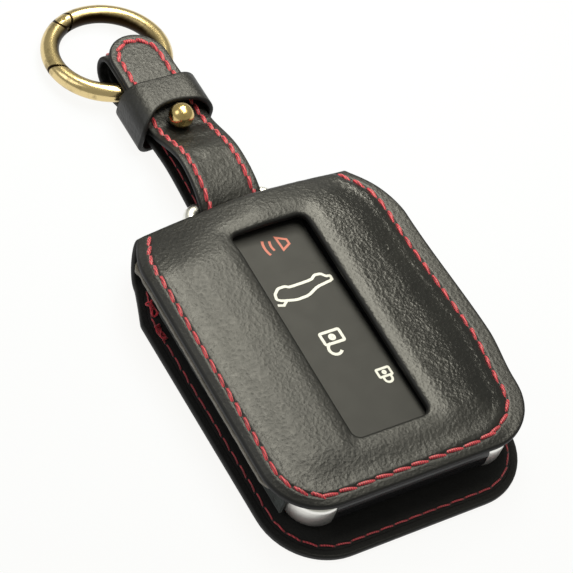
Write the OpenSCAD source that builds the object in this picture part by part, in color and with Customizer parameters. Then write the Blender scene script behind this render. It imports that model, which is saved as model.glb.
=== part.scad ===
// Leather key fob cover with its fob, a strap on a ball stud and a spring-gate ring.
// It lies on its back: X runs across, Y runs from the lower edge to the ring, Z is up.

/* [Cover] */
// Width of the cover across its long sides
cover_w = 52; // [50:0.5:60]
// Length of the front panel from its lower edge to the fold
front_len = 61.4; // [61:0.2:64]
// Thickness of the outer leather
leather_t = 1.2; // [1:0.1:1.2]
// Thickness of the lining sheets
lining_t = 0.6; // [0.4:0.1:0.6]
// How far the back panel reaches past the lower edge of the front panel
back_drop = 4.2; // [3:0.2:6]
// Corner radius of the front panel
front_r = 10.2; // [8:0.2:11]
// Corner radius of the back panel
back_r = 12; // [9:0.5:13]
// Height of the front panel's lower edge, top face
flange_z = 10.7; // [10.7:0.1:12]
// Rise of the front panel from its lower edge to the fold
front_rise = 1.7; // [1:0.1:2.2]
// Width of the stitched flange round the front panel
flange_w = 3.4; // [2.8:0.2:4]
// Height of the moulded pillow over the flange
pillow_h = 0.7; // [0.4:0.1:1]
// Distance from the middle to the fold's left end
neck_left = 21.8; // [21:0.2:23]
// Distance from the middle to the fold's right end
neck_right = 20.4; // [20:0.2:23]
// Length of the cut corners beside the fold
neck_len = 12.6; // [10:0.2:14]
// Drop of the fold from its middle to its left end
left_drop = 3.6; // [2:0.2:3.8]
// Drop of the fold from its middle to its right end
right_drop = 1.8; // [1.4:0.2:3.8]
// How much farther the fold's ends reach than its middle
fold_flare = 1; // [0:0.1:1.2]

/* [Window] */
// Width of the button window
window_w = 15.4; // [14:0.2:16]
// Distance from the front panel's lower edge to the window
window_y = 10; // [9.6:0.2:11]
// Distance from the window to the fold
window_margin = 6.8; // [6.4:0.2:8.4]
// Corner radius of the window
window_r = 1.5; // [1:0.1:2.5]

/* [Fob] */
// Width of the fob over its rails
fob_w = 44; // [42:0.5:45]
// Distance from the fob's bail end to the fold
end_room = 3.1; // [2.7:0.1:4.3]
// Thickness of the fob at its middle
fob_t = 7.1; // [6.9:0.1:7.1]
// Thickness of the fob's moulded walls
wall_t = 1.1; // [0.9:0.1:1.3]
// Width of a side rail
rail_w = 3.2; // [2.6:0.2:3.6]
// Height of a side rail
rail_h = 5.2; // [4.4:0.2:5.6]
// Radius of the bail's wire
bail_r = 1.3; // [1.1:0.1:1.4]
// Width of the bail between its legs' middles
bail_w = 16.8; // [16:0.2:17.6]
// Distance from the fold to the bail's cross bar
bail_reach = 4.6; // [4.4:0.1:5.2]
// Travel of a button
button_travel = 0.35; // [0.2:0.05:0.4]
// Diameter of the coin cell
cell_d = 20; // [16:1:22]

/* [Strap] */
// Width of the strap
strap_w = 12.8; // [12:0.2:13]
// Width of the strap at its tip
tip_w = 11.6; // [11:0.2:12]
// Thickness of one ply of the strap
ply_t = 0.5; // [0.4:0.05:0.5]
// Length of the strap's upper run from the bail to its tip
strap_len = 39.2; // [38.8:0.2:41]
// Distance from the bail to the stud
stud_len = 19.2; // [19:0.1:19.6]
// Height of the strap's arch over the table
arch_z = 8.75; // [8.2:0.05:9.2]
// Diameter of the stud's ball
ball_d = 3.9; // [3.4:0.1:4]
// Width of the keeper along the strap
keeper_w = 5.9; // [5:0.1:5.9]
// Thickness of the keeper's leather
keeper_t = 1; // [0.8:0.1:1]

/* [Ring] */
// Diameter of the ring over its wire
ring_d = 25; // [24.5:0.1:27]
// Diameter of the ring's wire
wire_d = 3.5; // [3:0.1:3.6]
// Turn of the gate's hinge round the ring
hinge_at = 114; // [108:1:120]
// Turn of the gate's free end round the ring
gate_end = 188; // [180:1:195]

/* [Hidden] */
$fn = 48;

// One overrun for every cut, and the clearances between pieces
over = 1;
touch_gap = 0.05;
slide_gap = 0.1;
body_gap = 0.2;

// Heights of the stack from the table up
back_top = leather_t;
back_lining_top = back_top + lining_t;
fob_z = back_lining_top + slide_gap;
fob_top = fob_z + fob_t;

// Outline of the cover, and the window between its two margins
half_w = cover_w/2;
window_len = front_len - window_y - window_margin;
shoulder_y = front_len - neck_len;
pillow_ramp = 3.2;
window_dip = 0.35;

// Steps of the curved outlines
top_steps = 4;
cut_steps = 4;
side_steps = 6;
corner_steps = 8;
base_steps = 4;

function smooth(t) = t <= 0 ? 0 : t >= 1 ? 1 : t*t*(3 - 2*t);
function mix(a, b, t) = a + (b - a)*t;
function bezier(p, n) = [for (i = [0:n]) let (t = i/n, u = 1 - t)
    u*u*u*p[0] + 3*u*u*t*p[1] + 3*u*t*t*p[2] + t*t*t*p[3]];
function joined(lists) = [for (l = lists) for (p = l) p];
// A closed outline from its left half and its right one, which is drawn as if on the left
function closed(left, right) = concat(left, [for (i = [len(right) - 2:-1:1]) [-right[i].x, right[i].y]]);

// Half width of a panel at y, with its rounded lower corners and its cut upper ones
function panel_half(y, y0, r, side) = y < y0 + r
    ? half_w - r + sqrt(max(0, r*r - pow(y0 + r - y, 2)))
    : y <= shoulder_y ? half_w : mix(half_w, neck_end(side), cut_share((y - shoulder_y)/neck_len, side));
function neck_end(side) = side < 0 ? neck_left : neck_right;
function cut_share(t, side) = t >= 1 ? 1 : t + (side < 0 ? left_cut_share : right_cut_share)*sin(180*t);
left_cut_share = 0.05;
right_cut_share = -0.2;

// Half of a panel's outline, drawn on the left, from the middle of the fold to that of the lower edge
function panel_outline_half(y0, r, y_top, side) = joined([
    [for (i = [0:top_steps]) [-panel_half(y_top, y0, r, side)*i/top_steps, y_top]],
    [for (i = [1:cut_steps]) let (y = mix(y_top, shoulder_y, i/cut_steps)) [-panel_half(y, y0, r, side), y]],
    [for (i = [1:side_steps]) [-half_w, mix(shoulder_y, y0 + r, i/side_steps)]],
    [for (i = [1:corner_steps]) let (a = 180 + 90*i/corner_steps)
        [-half_w + r + r*cos(a), y0 + r + r*sin(a)]],
    [for (i = [1:base_steps]) [mix(-half_w + r, 0, i/base_steps), y0]]]);
function panel_outline(y0, r, y_top) = closed(panel_outline_half(y0, r, y_top, -1),
    panel_outline_half(y0, r, y_top, 1));

// Left half of a rounded window's outline, with the same count of points
function window_outline_half(w, y0, length, r) = joined([
    [for (i = [0:top_steps]) [-(w/2 - r)*i/top_steps, y0 + length]],
    [for (i = [1:cut_steps]) let (a = 90 + 90*i/cut_steps)
        [-w/2 + r + r*cos(a), y0 + length - r + r*sin(a)]],
    [for (i = [1:side_steps]) [-w/2, mix(y0 + length - r, y0 + r, i/side_steps)]],
    [for (i = [1:corner_steps]) let (a = 180 + 90*i/corner_steps)
        [-w/2 + r + r*cos(a), y0 + r + r*sin(a)]],
    [for (i = [1:base_steps]) [mix(-w/2 + r, 0, i/base_steps), y0]]]);
function window_outline(w, y0, length, r) = closed(window_outline_half(w, y0, length, r),
    window_outline_half(w, y0, length, r));

// Height of the front panel's top face
function edge_depth(x, y) = let (r = front_r, ax = abs(x))
    ax > half_w - r && y < r
    ? r - norm([ax - half_w + r, r - y])
    : min(panel_half(y, 0, r, sign(x)) - ax, y);
neck_power = 1.6;
fold_fade_share = 0.9;
function front_z(x, y) = let (neck = smooth((y - shoulder_y)/neck_len))
    flange_z + front_rise*y/front_len
    - (x < 0 ? left_drop : right_drop)*neck*pow(abs(x)/panel_half(y, 0, front_r, sign(x)), neck_power)
    + pillow_h*smooth((edge_depth(x, y) - flange_w)/pillow_ramp)*(1 - fold_fade_share*neck)
    - window_dip*smooth(1 - (abs(x) - window_w/2)/pillow_ramp)
        *smooth(1 - (y - window_y - window_len)/pillow_ramp)
        *smooth(1 - (window_y - y)/pillow_ramp);

// Closed skin through loops of equal length, each joined to the next and the last to the first
module ring_skin(loops) {
    n = len(loops[0]);
    m = len(loops);
    polyhedron(
        points = joined(loops),
        faces = [for (j = [0:m - 1]) for (i = [0:n - 1]) each let (
            a = j*n + i,
            b = j*n + (i + 1)%n,
            c = ((j + 1)%m)*n + (i + 1)%n,
            d = ((j + 1)%m)*n + i) [[a, b, c], [a, c, d]]],
        convexity = 10);
}

// Closed skin through rows of equal length, with flat ends
module row_skin(rows) {
    n = len(rows[0]);
    m = len(rows);
    polyhedron(
        points = joined(rows),
        faces = concat(
            [[for (i = [0:n - 1]) i]],
            [[for (i = [n - 1:-1:0]) (m - 1)*n + i]],
            [for (j = [0:m - 2]) for (i = [0:n - 1]) each let (
                a = j*n + i,
                b = j*n + (i + 1)%n,
                c = (j + 1)*n + (i + 1)%n,
                d = (j + 1)*n + i) [[a, d, c], [a, c, b]]]),
        convexity = 10);
}

// Loops of the moulded front, from its edge inwards to its window
ramp_shares = [0, 0.5, 1];
inner_shares = [0.35, 0.7, 1];
most_ramp_share = 0.75;
function front_loops(outer, inner, sink) =
    let (
        steps = concat([0, flange_w/2], [for (s = ramp_shares) flange_w + pillow_ramp*s]),
        last = steps[len(steps) - 1],
        ends = [for (i = [0:len(outer) - 1]) min(most_ramp_share, last/norm(inner[i] - outer[i]))])
    concat(
        [for (d = steps) [for (i = [0:len(outer) - 1])
            let (q = mix(outer[i], inner[i], ends[i]*d/last)) [q.x, q.y, front_z(q.x, q.y) - sink]]],
        [for (s = inner_shares) [for (i = [0:len(outer) - 1])
            let (q = mix(outer[i], inner[i], mix(ends[i], 1, s))) [q.x, q.y, front_z(q.x, q.y) - sink]]]);
function reversed(list) = [for (i = [len(list) - 1:-1:0]) list[i]];

module front_sheet(outer, inner, sink, t) {
    ring_skin(concat(front_loops(outer, inner, sink), reversed(front_loops(outer, inner, sink + t))));
}

module front_cover() {
    color("#26272a")
    placed()
        front_sheet(panel_outline(0, front_r, front_len),
            window_outline(window_w, window_y, window_len, window_r), 0, leather_t);
}

// Lining under the front, and a skirt hanging from it down each side of the fob
lining_y = 4.6;
lining_inset = 2.2;
skirt_gap = 0.35;
skirt_foot = 1;
skirt_round = 1.2;
lining_window_grow = 0.6;
skirt_x = fob_w/2 + skirt_gap;
skirt_top_sink = leather_t + lining_t + slide_gap + touch_gap;

module front_lining() {
    color("#6f706c")
    placed()
        front_sheet(panel_outline(lining_y, front_r - lining_y, front_len - lining_inset),
            window_outline(window_w + 2*lining_window_grow, window_y - lining_window_grow,
                window_len + 2*lining_window_grow, window_r), leather_t + slide_gap, lining_t);
}

module side_skirt(side) {
    steps = 8;
    y0 = lining_y + skirt_round;
    y1 = shoulder_y;
    foot = back_lining_top + skirt_foot;
    row_skin([for (i = [0:steps])
        let (
            y = mix(y0, y1, i/steps),
            top = front_z(skirt_x, y) - skirt_top_sink,
            xa = side*skirt_x,
            xb = side*(skirt_x + lining_t),
            quad = [[xa, y, foot], [xb, y, foot], [xb, y, top], [xa, y, top]])
        side > 0 ? quad : reversed(quad)]);
}

module left_skirt() {
    color("#5d5e5a")
    placed()
        side_skirt(-1);
}

module right_skirt() {
    color("#5d5e5a")
    placed()
        side_skirt(1);
}

// Back panel and hood in one sheet: rows run from the fold down the end wall and along the back
wall_steps = 13;
wall_bow = 1.8;
fold_gap = 0.1;
wall_flare_share = 0.7;
wall_foot_bow = 3.2;
wall_foot_inset = 1.2;
wall_foot_y = front_len - wall_foot_inset;
wall_foot_lean = 4.2;
column_shares = [-1, -0.9, -0.78, -0.64, -0.5, -0.36, -0.22, -0.08, 0.08, 0.22, 0.36, 0.5, 0.64, 0.78,
    0.9, 1];
slot_w = bail_w + 2*bail_r + 2*body_gap;
slot_foot = back_lining_top + slide_gap;
slot_drop = 0.4;
slot_top = fob_top - slot_drop;

foot_power = 2.4;
fold_lip = 0.2;
function foot_y(v) = wall_foot_y - wall_foot_lean*pow(abs(v), foot_power);
// From the front panel's end over a lip that reaches farther at the sides, then down to the table
function wall_curve(v) =
    let (
        x0 = abs(v)*neck_end(v)*sign(v),
        y0 = front_len + fold_gap,
        z0 = front_z(x0, y0),
        lip_y = y0 + fold_lip + fold_flare*v*v,
        y1 = foot_y(v),
        x1 = abs(v)*panel_half(y1, -back_drop, back_r, v)*sign(v),
        flat = concat([[y0, z0]], bezier([[lip_y, z0], [lip_y + wall_bow*(1 - wall_flare_share*v*v), z0],
            [y1 + wall_foot_bow, 0], [y1, 0]], wall_steps - 1)))
    [for (i = [0:wall_steps]) [mix(x0, x1, smooth(i/wall_steps)), flat[i].x, flat[i].y]];
// The same curve moved in by the leather's thickness
function wall_inner(v) =
    let (c = wall_curve(v))
    [for (i = [0:wall_steps])
        let (
            before = c[max(0, i - 1)],
            after = c[min(wall_steps, i + 1)],
            ty = after.y - before.y,
            tz = after.z - before.z,
            size = norm([ty, tz]))
        i == 0 ? [c[i].x, c[i].y, c[i].z - leather_t]
        : i == wall_steps ? [c[i].x, c[i].y, leather_t]
        : [c[i].x, keep_off(c[i].y + tz/size*leather_t, c[0].y, c[0].z - c[i].z + ty/size*leather_t),
            c[i].z - ty/size*leather_t]];
keep_off_depth = 0.8;
function keep_off(y, y_end, depth) = depth < leather_t + keep_off_depth ? max(y, y_end) : y;
function back_rows() = concat(
    [for (y = [shoulder_y, shoulder_y/2 + back_r/2, back_r - back_drop]) y],
    [for (i = [1:corner_steps]) back_r - back_drop - back_r*sin(90*i/corner_steps)]);

module back_sheet() {
    walls = [for (v = column_shares) wall_curve(v)];
    inners = [for (v = column_shares) wall_inner(v)];
    ys = back_rows();
    n = len(column_shares);
    rows = concat(
        [for (i = [0:wall_steps]) concat(
            [for (j = [0:n - 1]) walls[j][i]],
            [for (j = [n - 1:-1:0]) inners[j][i]])],
        [for (y = ys) let (h = panel_half(y, -back_drop, back_r, 1)) concat(
            [for (j = [0:n - 1]) [column_shares[j]*h, y, 0]],
            [for (j = [n - 1:-1:0]) [column_shares[j]*h, y, leather_t]])]);
    row_skin_open(rows);
}

// Like row_skin, with its ends closed by strips, because their edges are bowed
module row_skin_open(rows) {
    n = len(rows[0]);
    m = len(rows);
    k = n/2;
    end = (m - 1)*n;
    polyhedron(
        points = joined(rows),
        faces = concat(
            [for (i = [0:k - 2]) each [[i, i + 1, n - 2 - i], [i, n - 2 - i, n - 1 - i]]],
            [for (i = [0:k - 2]) each [[end + i, end + n - 2 - i, end + i + 1],
                [end + i, end + n - 1 - i, end + n - 2 - i]]],
            [for (j = [0:m - 2]) for (i = [0:n - 1]) each let (
                a = j*n + i,
                b = j*n + (i + 1)%n,
                c = (j + 1)*n + (i + 1)%n,
                d = (j + 1)*n + i) [[a, d, c], [a, c, b]]]),
        convexity = 10);
}

module back_cover() {
    color("#232427")
    placed()
        difference() {
            back_sheet();
            translate([-slot_w/2, wall_foot_y - over, slot_foot])
                cube([slot_w, front_len, slot_top - slot_foot]);
        }
}

back_lining_inset = 6;
back_lining_end = front_len - back_lining_inset;

module back_lining() {
    color("#1b1c1e")
    placed()
        translate([0, 0, back_top])
            linear_extrude(lining_t)
                polygon(panel_outline(-back_drop, back_r, back_lining_end));
}

// Fob: two shells, silver rails that turn round its lower corners, and a wire bail
core_half = fob_w/2 - rail_w;
fob_y = 0.7;
fob_len = front_len - end_room - fob_y;
fob_end = fob_y + fob_len;
split_share = 0.48;
shell_split = fob_z + fob_t*split_share;
shell_round = 2.6;
end_round = 3;
rail_place_share = 0.4;
rail_z = fob_z + (fob_t - rail_h)*rail_place_share;
rail_turn = 4.6;
rail_return = 15.6;
rail_edge = 0.8;
rail_end_inset = 3.3;
rail_end_y = fob_end - rail_end_inset;
strip_w = window_w + 1;
strip_len = window_len + 1.6;
strip_y = window_y - 0.8;
plate_t = 1.1;
button_rise = 0.3;
button_top = fob_top + button_rise;
board_t = 0.8;
cell_t = 1.6;
cell_y = 20;
clip_t = 0.25;
board_z = fob_z + wall_t + clip_t + cell_t + touch_gap;
bail_share = 0.324;
bail_y = front_len + bail_reach;
bail_z = fob_z + fob_t*bail_share;
bail_turn = 2;

// Side profile of the fob, with its rounded ends
function side_profile(z0, z1, low_r, high_r) = joined([
    profile_corner(fob_y + low_r, z0 + low_r, low_r, 180),
    profile_corner(fob_end - low_r, z0 + low_r, low_r, 270),
    profile_corner(fob_end - high_r, z1 - high_r, high_r, 0),
    profile_corner(fob_y + high_r, z1 - high_r, high_r, 90)]);
function profile_corner(y, z, r, from) = r > 0 ? arc_points([y, z], r, from, from + 90, end_steps) : [[y, z]];
end_steps = 6;

module along_x(w) {
    translate([-w/2, 0, 0])
        rotate([90, 0, 90])
            linear_extrude(w)
                children();
}

function rail_path() = concat(
    [[core_half, rail_end_y], [core_half, mix(rail_end_y, rail_turn + fob_y, 0.5)]],
    [for (i = [0:6]) let (a = 90*i/6)
        [core_half - (core_half - rail_return)*(1 - cos(a)), fob_y + rail_turn - rail_turn*rail_sink_share*sin(a)]]);
rail_sink_share = 0.62;

// Plan of the moulded shells: rounded at the bail's end, drawn in at the other where the rails turn
plan_r = 4;
function plan_half() = concat(
    [for (i = [0:6]) let (a = 90 - 15*i)
        [core_half - plan_r + plan_r*cos(a), fob_end - plan_r + plan_r*sin(a)]],
    [for (p = after_first(rail_path())) [p[0] - touch_gap, p[1]]],
    [[rail_return - touch_gap, fob_y]]);
module shell_plan() {
    half = plan_half();
    linear_extrude(fob_top + over)
        polygon(concat(half, [for (p = reversed(half)) [-p[0], p[1]]]));
}

module fob_back_shell() {
    color("#1d1e20")
    placed()
        difference() {
            intersection() {
                along_x(2*core_half)
                    polygon(side_profile(fob_z, shell_split, shell_round, 0));
                shell_plan();
            }
            difference() {
                translate([-core_half + wall_t, fob_y + end_round, fob_z + wall_t])
                    cube([2*core_half - 2*wall_t, fob_len - 2*end_round, fob_t]);
                board_posts();
            }
            bail_sockets();
        }
}

module board_posts() {
    for (side = [-1, 1])
        for (y = [fob_y + end_round + post_inset, fob_end - end_round - post_inset])
            translate([side*(core_half - wall_t - post_inset), y, fob_z])
                cylinder(r = post_r, h = board_z - touch_gap - fob_z);
}
post_r = 1.2;
post_inset = 2;

module fob_front_shell() {
    color("#202124")
    placed()
        difference() {
            intersection() {
                along_x(2*core_half)
                    polygon(side_profile(shell_split + touch_gap, fob_top, 0, shell_round));
                shell_plan();
            }
            translate([-core_half + wall_t, fob_y + end_round, shell_split - over])
                cube([2*core_half - 2*wall_t, fob_len - 2*end_round, fob_top - plate_t - shell_split + over]);
            translate([-strip_w/2, strip_y, shell_split])
                cube([strip_w, strip_len, fob_t]);
            bail_sockets();
        }
}

module bail_sockets() {
    for (side = [-1, 1])
        translate([side*bail_w/2, fob_end + over, bail_z])
            rotate([90, 0, 0])
                cylinder(r = bail_r + touch_gap, h = end_round + over - touch_gap);
}

module fob_bail() {
    color("#c9cacb")
    placed() {
        for (side = [-1, 1]) {
            translate([side*bail_w/2, bail_y - bail_turn, bail_z])
                rotate([90, 0, 0])
                    cylinder(r = bail_r, h = bail_y - bail_turn - fob_end + end_round - body_gap);
            translate([side*(bail_w/2 - bail_turn), bail_y - bail_turn, bail_z])
                rotate([0, 0, side > 0 ? 0 : 90])
                    rotate_extrude(angle = 90)
                        translate([bail_turn, 0])
                            circle(r = bail_r);
        }
        translate([-bail_w/2 + bail_turn, bail_y, bail_z])
            rotate([0, 90, 0])
                cylinder(r = bail_r, h = bail_w - 2*bail_turn);
    }
}

// A rail's section, as outward offset and height, swept along a path in plan
function rail_section() = let (e = rail_edge, w = rail_w, h = rail_h)
    [[0, 0], [w - e, 0], [w - e/4, e/3], [w, e], [w, h - e], [w - e/4, h - e/3], [w - e, h], [0, h]];

module rail(side) {
    path = rail_path();
    n = len(path);
    row_skin([for (i = [0:n - 1])
        let (
            before = path[max(0, i - 1)],
            after = path[min(n - 1, i + 1)],
            d = (after - before)/norm(after - before),
            out = [-d.y, d.x],
            thin = i < 2 ? 1 : mix(1, rail_thin_share, (i - 2)/(n - 3)),
            row = [for (s = rail_section())
                [side*(path[i].x + out.x*s.x*thin), path[i].y + out.y*s.x*thin, rail_z + s.y]])
        side > 0 ? reversed(row) : row]);
}
rail_thin_share = 0.5;

module left_rail() {
    color("#d5d6d6")
    placed()
        rail(-1);
}

module right_rail() {
    color("#d5d6d6")
    placed()
        rail(1);
}

// Buttons lie end to end in the strip, each with a lip under the shell and a plunger
button_shares = [0, 0.35, 0.57, 0.79, 1];
button_seam = 0.1;
lip_w = 0.6;
lip_t = 0.5;
plunger_r = 1.3;
switch_w = 4.4;
switch_h = 0.7;
function button_y(i) = strip_y + strip_len*button_shares[i];

module button(i) {
    y0 = button_y(i) + button_seam/2;
    y1 = button_y(i + 1) - button_seam/2;
    ya = i == 0 ? y0 + slide_gap : y0;
    yb = i == 3 ? y1 - slide_gap : y1;
    foot = fob_top - plate_t - slide_gap - lip_t;
    placed() {
        translate([-strip_w/2 + slide_gap, ya, foot + lip_t - touch_gap])
            cube([strip_w - 2*slide_gap, yb - ya, button_top - foot - lip_t + touch_gap]);
        translate([-strip_w/2 - lip_w, ya, foot])
            cube([strip_w + 2*lip_w, yb - ya, lip_t]);
        translate([0, (y0 + y1)/2, board_z + board_t + switch_h + button_travel + slide_gap])
            cylinder(r = plunger_r, h = foot - board_z - board_t - switch_h - button_travel - slide_gap + lip_t/2);
    }
}

module lock_button() { color("#3a3b3d") button(0); }
module unlock_button() { color("#3a3b3d") button(1); }
module trunk_button() { color("#3a3b3d") button(2); }
module horn_button() { color("#3a3b3d") button(3); }

// Board on the back shell, with its switches above and its cell below
board_margin = 0.3;

module circuit_board() {
    color("#1f5c35")
    placed()
        translate([-core_half + wall_t + board_margin, fob_y + end_round + board_margin, board_z])
            cube([2*(core_half - wall_t - board_margin), fob_len - 2*end_round - 2*board_margin, board_t]);
}

module button_switches() {
    color("#c7c8c6")
    placed()
        for (i = [0:3])
            translate([0, (button_y(i) + button_y(i + 1))/2, board_z + board_t]) {
                translate([-switch_w/2, -switch_w/2, 0])
                    cube([switch_w, switch_w, switch_h - lip_t/2]);
                cylinder(r = plunger_r, h = switch_h);
            }
}

module coin_cell() {
    color("#b9babb")
    placed()
        translate([0, cell_y, fob_z + wall_t + clip_t])
            cylinder(d = cell_d, h = cell_t);
}

clip_w = 4;

module cell_clip() {
    color("#a98f4e")
    placed() {
        translate([-cell_d/2, cell_y - clip_w/2, fob_z + wall_t])
            cube([cell_d + slide_gap + clip_t, clip_w, clip_t]);
        translate([cell_d/2 + slide_gap, cell_y - clip_w/2, fob_z + wall_t])
            cube([clip_t, clip_w, board_z - touch_gap - fob_z - wall_t]);
    }
}

// Strap: one band in two plies, from its tip over the bail, back under, round the ring and to the stud
strap_t = 2*ply_t;
ply_gap = 0.06;
wrap_r = bail_r + slide_gap + ply_t;
tip_y = bail_y + strap_len;
tip_shift = 1.1;
stud_y = bail_y + stud_len;
table_gap = 0.15;
loop_low = table_gap + ply_t;
loop_slack = 1.3;
ring_high = table_gap + strap_t + loop_slack + wire_d/2;
loop_high = ring_high + wire_d/2 + slide_gap + ply_t;
loop_r = (loop_high - loop_low)/2;
loop_len = 15.5;
loop_y = stud_y + loop_len;
stack_low = 3;
stack_mid = stack_low + strap_t + touch_gap;
stack_high = stack_mid + strap_t + 2*touch_gap;
flap_len = 1.9;
flap_rise = 0.2;
leave_up = 32;
leave_low = 8;

function arc_points(c, r, a0, a1, n) = [for (i = [0:n]) let (a = mix(a0, a1, i/n))
    [c[0] + r*cos(a), c[1] + r*sin(a)]];
function after_first(list) = [for (i = [1:len(list) - 1]) list[i]];
function wrap_point(a) = [bail_y + wrap_r*cos(a), bail_z + wrap_r*sin(a)];
upper_start = 90 + leave_up;
lower_end = 270 + leave_low;

// A bend that leaves p and reaches q level, pulled along by the given lengths
function level_bend(p, q, pull_p, pull_q, n) = let (s = sign(q[0] - p[0]))
    bezier([p, [p[0] + s*pull_p, p[1]], [q[0] - s*pull_q, q[1]], q], n);

// Upper run, from the tip to the bail
ridge_len = 11.8;
ridge_y = stud_y + ridge_len;
ridge_z = loop_high + strap_t + touch_gap;
ridge_pull = 5.4;
stud_pull = 3.4;
arch_len = 7.8;
arch_y = bail_y + arch_len;
arch_mid = arch_z - ply_t;
arch_pull = 4;
wrap_pull = 2;
upper_run = joined([
    [[tip_y, ridge_z]],
    level_bend([ridge_y, ridge_z], [stud_y, stack_high], ridge_pull, stud_pull, 10),
    after_first(level_bend([stud_y, stack_high], [arch_y, arch_mid], stud_pull, arch_pull, 8)),
    after_first(bezier([[arch_y, arch_mid], [arch_y - arch_pull, arch_mid],
        wrap_point(upper_start) + wrap_pull*[cos(leave_up), sin(leave_up)], wrap_point(upper_start)], 7))]);

// Wrap round the bail, lower run, loop round the ring and the flap back to the stud
sag_len = 11.5;
sag_y = bail_y + sag_len;
sag_z = 3.5;
sag_pull = 3;
keeper_gap = 0.15;
keeper_y = stud_y + ball_d/2 + keeper_gap;
keeper_low = keeper_t + table_gap + ply_t;
keeper_mid_len = 5.8;
screw_rest = 1.9;
layer_shift = 0.5;
lower_run = joined([
    arc_points([bail_y, bail_z], wrap_r, upper_start, lower_end, 14),
    after_first(bezier([wrap_point(lower_end),
        wrap_point(lower_end) + sag_pull*[cos(leave_low), sin(leave_low)],
        [sag_y - sag_pull, sag_z], [sag_y, sag_z]], 5)),
    after_first(level_bend([sag_y, sag_z], [stud_y, stack_low], sag_pull, sag_pull/2, 4)),
    [[stud_y + screw_rest, stack_low]],
    after_first(level_bend([stud_y + screw_rest, stack_low], [stud_y + keeper_mid_len, keeper_low],
        sag_pull/2, sag_pull/2, 4)),
    [[keeper_y + keeper_w, keeper_low]],
    after_first(level_bend([keeper_y + keeper_w, keeper_low], [loop_y - loop_r, loop_low], sag_pull/2,
        sag_pull/2, 4)),
    arc_points([loop_y, loop_low + loop_r], loop_r, 270, 450, 12),
    after_first(level_bend([loop_y, loop_high], [ridge_y + layer_shift, loop_high], ridge_pull/2,
        ridge_pull/2, 2)),
    after_first(level_bend([ridge_y + layer_shift, loop_high], [stud_y + layer_shift, stack_mid],
        ridge_pull, stud_pull, 10)),
    [[stud_y, stack_mid], [stud_y - flap_len, stack_mid + flap_rise]]]);

function left_normals(path) = [for (i = [0:len(path) - 1])
    let (d = path[min(len(path) - 1, i + 1)] - path[max(0, i - 1)]) [-d[1], d[0]]/norm(d)];
whole_run = concat(upper_run, after_first(lower_run));
whole_normals = left_normals(whole_run);
upper_count = len(upper_run);

// Past the stud the band lies a little to the left, and its arch is twisted
function side_shift(y) = -tip_shift*smooth((y - stud_y)/ridge_len);
function half_at(y) = mix(strap_w, tip_w, smooth((y - stud_y)/ridge_len))/2;
function arch_twist(i, y) = i > upper_count ? 0 : twist*smooth(1 - abs(y - arch_y)/(stud_y - arch_y));
twist = 5;
tip_r = tip_w/2;
tip_steps = 8;
least_tip_share = 0.12;

// One cross row of a ply: across the strap at a point of the run, w to each side
function ply_row(x, w, p, n, tilt, from, to) =
    let (lift = w*sin(tilt))
    [[x - w, p[0] + n[0]*from, p[1] + n[1]*from + lift], [x + w, p[0] + n[0]*from, p[1] + n[1]*from - lift],
        [x + w, p[0] + n[0]*to, p[1] + n[1]*to - lift], [x - w, p[0] + n[0]*to, p[1] + n[1]*to + lift]];
function ply_rows(from, to) = concat(
    [for (k = [0:tip_steps - 1]) let (a = mix(asin(least_tip_share), 90, k/tip_steps))
        ply_row(-tip_shift, tip_r*sin(a), [tip_y - tip_r + tip_r*cos(a), ridge_z], [0, -1], 0, from, to)],
    [ply_row(-tip_shift, tip_r, [tip_y - tip_r, ridge_z], [0, -1], 0, from, to)],
    [for (i = [1:len(whole_run) - 1]) let (p = whole_run[i])
        ply_row(side_shift(p[0]), half_at(p[0]), p, whole_normals[i], arch_twist(i, p[0]), from, to)]);

module ply(from, to) {
    difference() {
        row_skin(ply_rows(from, to));
        translate([0, stud_y, 0])
            cylinder(r = neck_r + touch_gap, h = arch_z + over);
    }
}

module strap_outer() {
    color("#2a2b2e")
    placed()
        ply(-ply_t, -ply_gap/2);
}

module strap_inner() {
    color("#1c1d1f")
    placed()
        ply(ply_gap/2, ply_t);
}

// Stud: a ball on a neck through the stack, held by a flat screw from below
neck_r = 0.9;
screw_r = 1.7;
screw_t = 0.5;
shank_r = 0.45;
stack_foot = stack_low - ply_t;
stack_roof = stack_high + ply_t;
ball_z = stack_roof + touch_gap + ball_d/2;

module stud_ball() {
    color("#b6934a")
    placed()
        translate([0, stud_y, 0])
            difference() {
                union() {
                    translate([0, 0, ball_z])
                        sphere(d = ball_d);
                    translate([0, 0, stack_foot])
                        cylinder(r = neck_r, h = ball_z - stack_foot);
                }
                translate([0, 0, stack_foot - over])
                    cylinder(r = shank_r + touch_gap, h = ball_z - stack_foot);
            }
}

module stud_screw() {
    color("#a4823c")
    placed()
        translate([0, stud_y, 0])
            difference() {
                union() {
                    translate([0, 0, stack_foot - body_gap - screw_t])
                        cylinder(r = screw_r, h = screw_t);
                    translate([0, 0, stack_foot - body_gap - screw_t])
                        cylinder(r = shank_r, h = ball_z - stack_foot - over);
                }
                translate([-screw_r, -shank_r/2, stack_foot - body_gap - screw_t - over])
                    cube([2*screw_r, shank_r, over + screw_t/2]);
            }
}

// Keeper: a closed loop of leather round the strap
keeper_x = -0.4;
keeper_side_gap = 0.6;
keeper_travel = 0.5;
keeper_half = strap_w/2 + keeper_side_gap + keeper_t;
keeper_top = ridge_z + ply_t + slide_gap + keeper_t;
keeper_high_r = 2.2;
keeper_low_r = 1.8;
left_bow = 1.2;
right_bow = 2.2;

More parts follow.
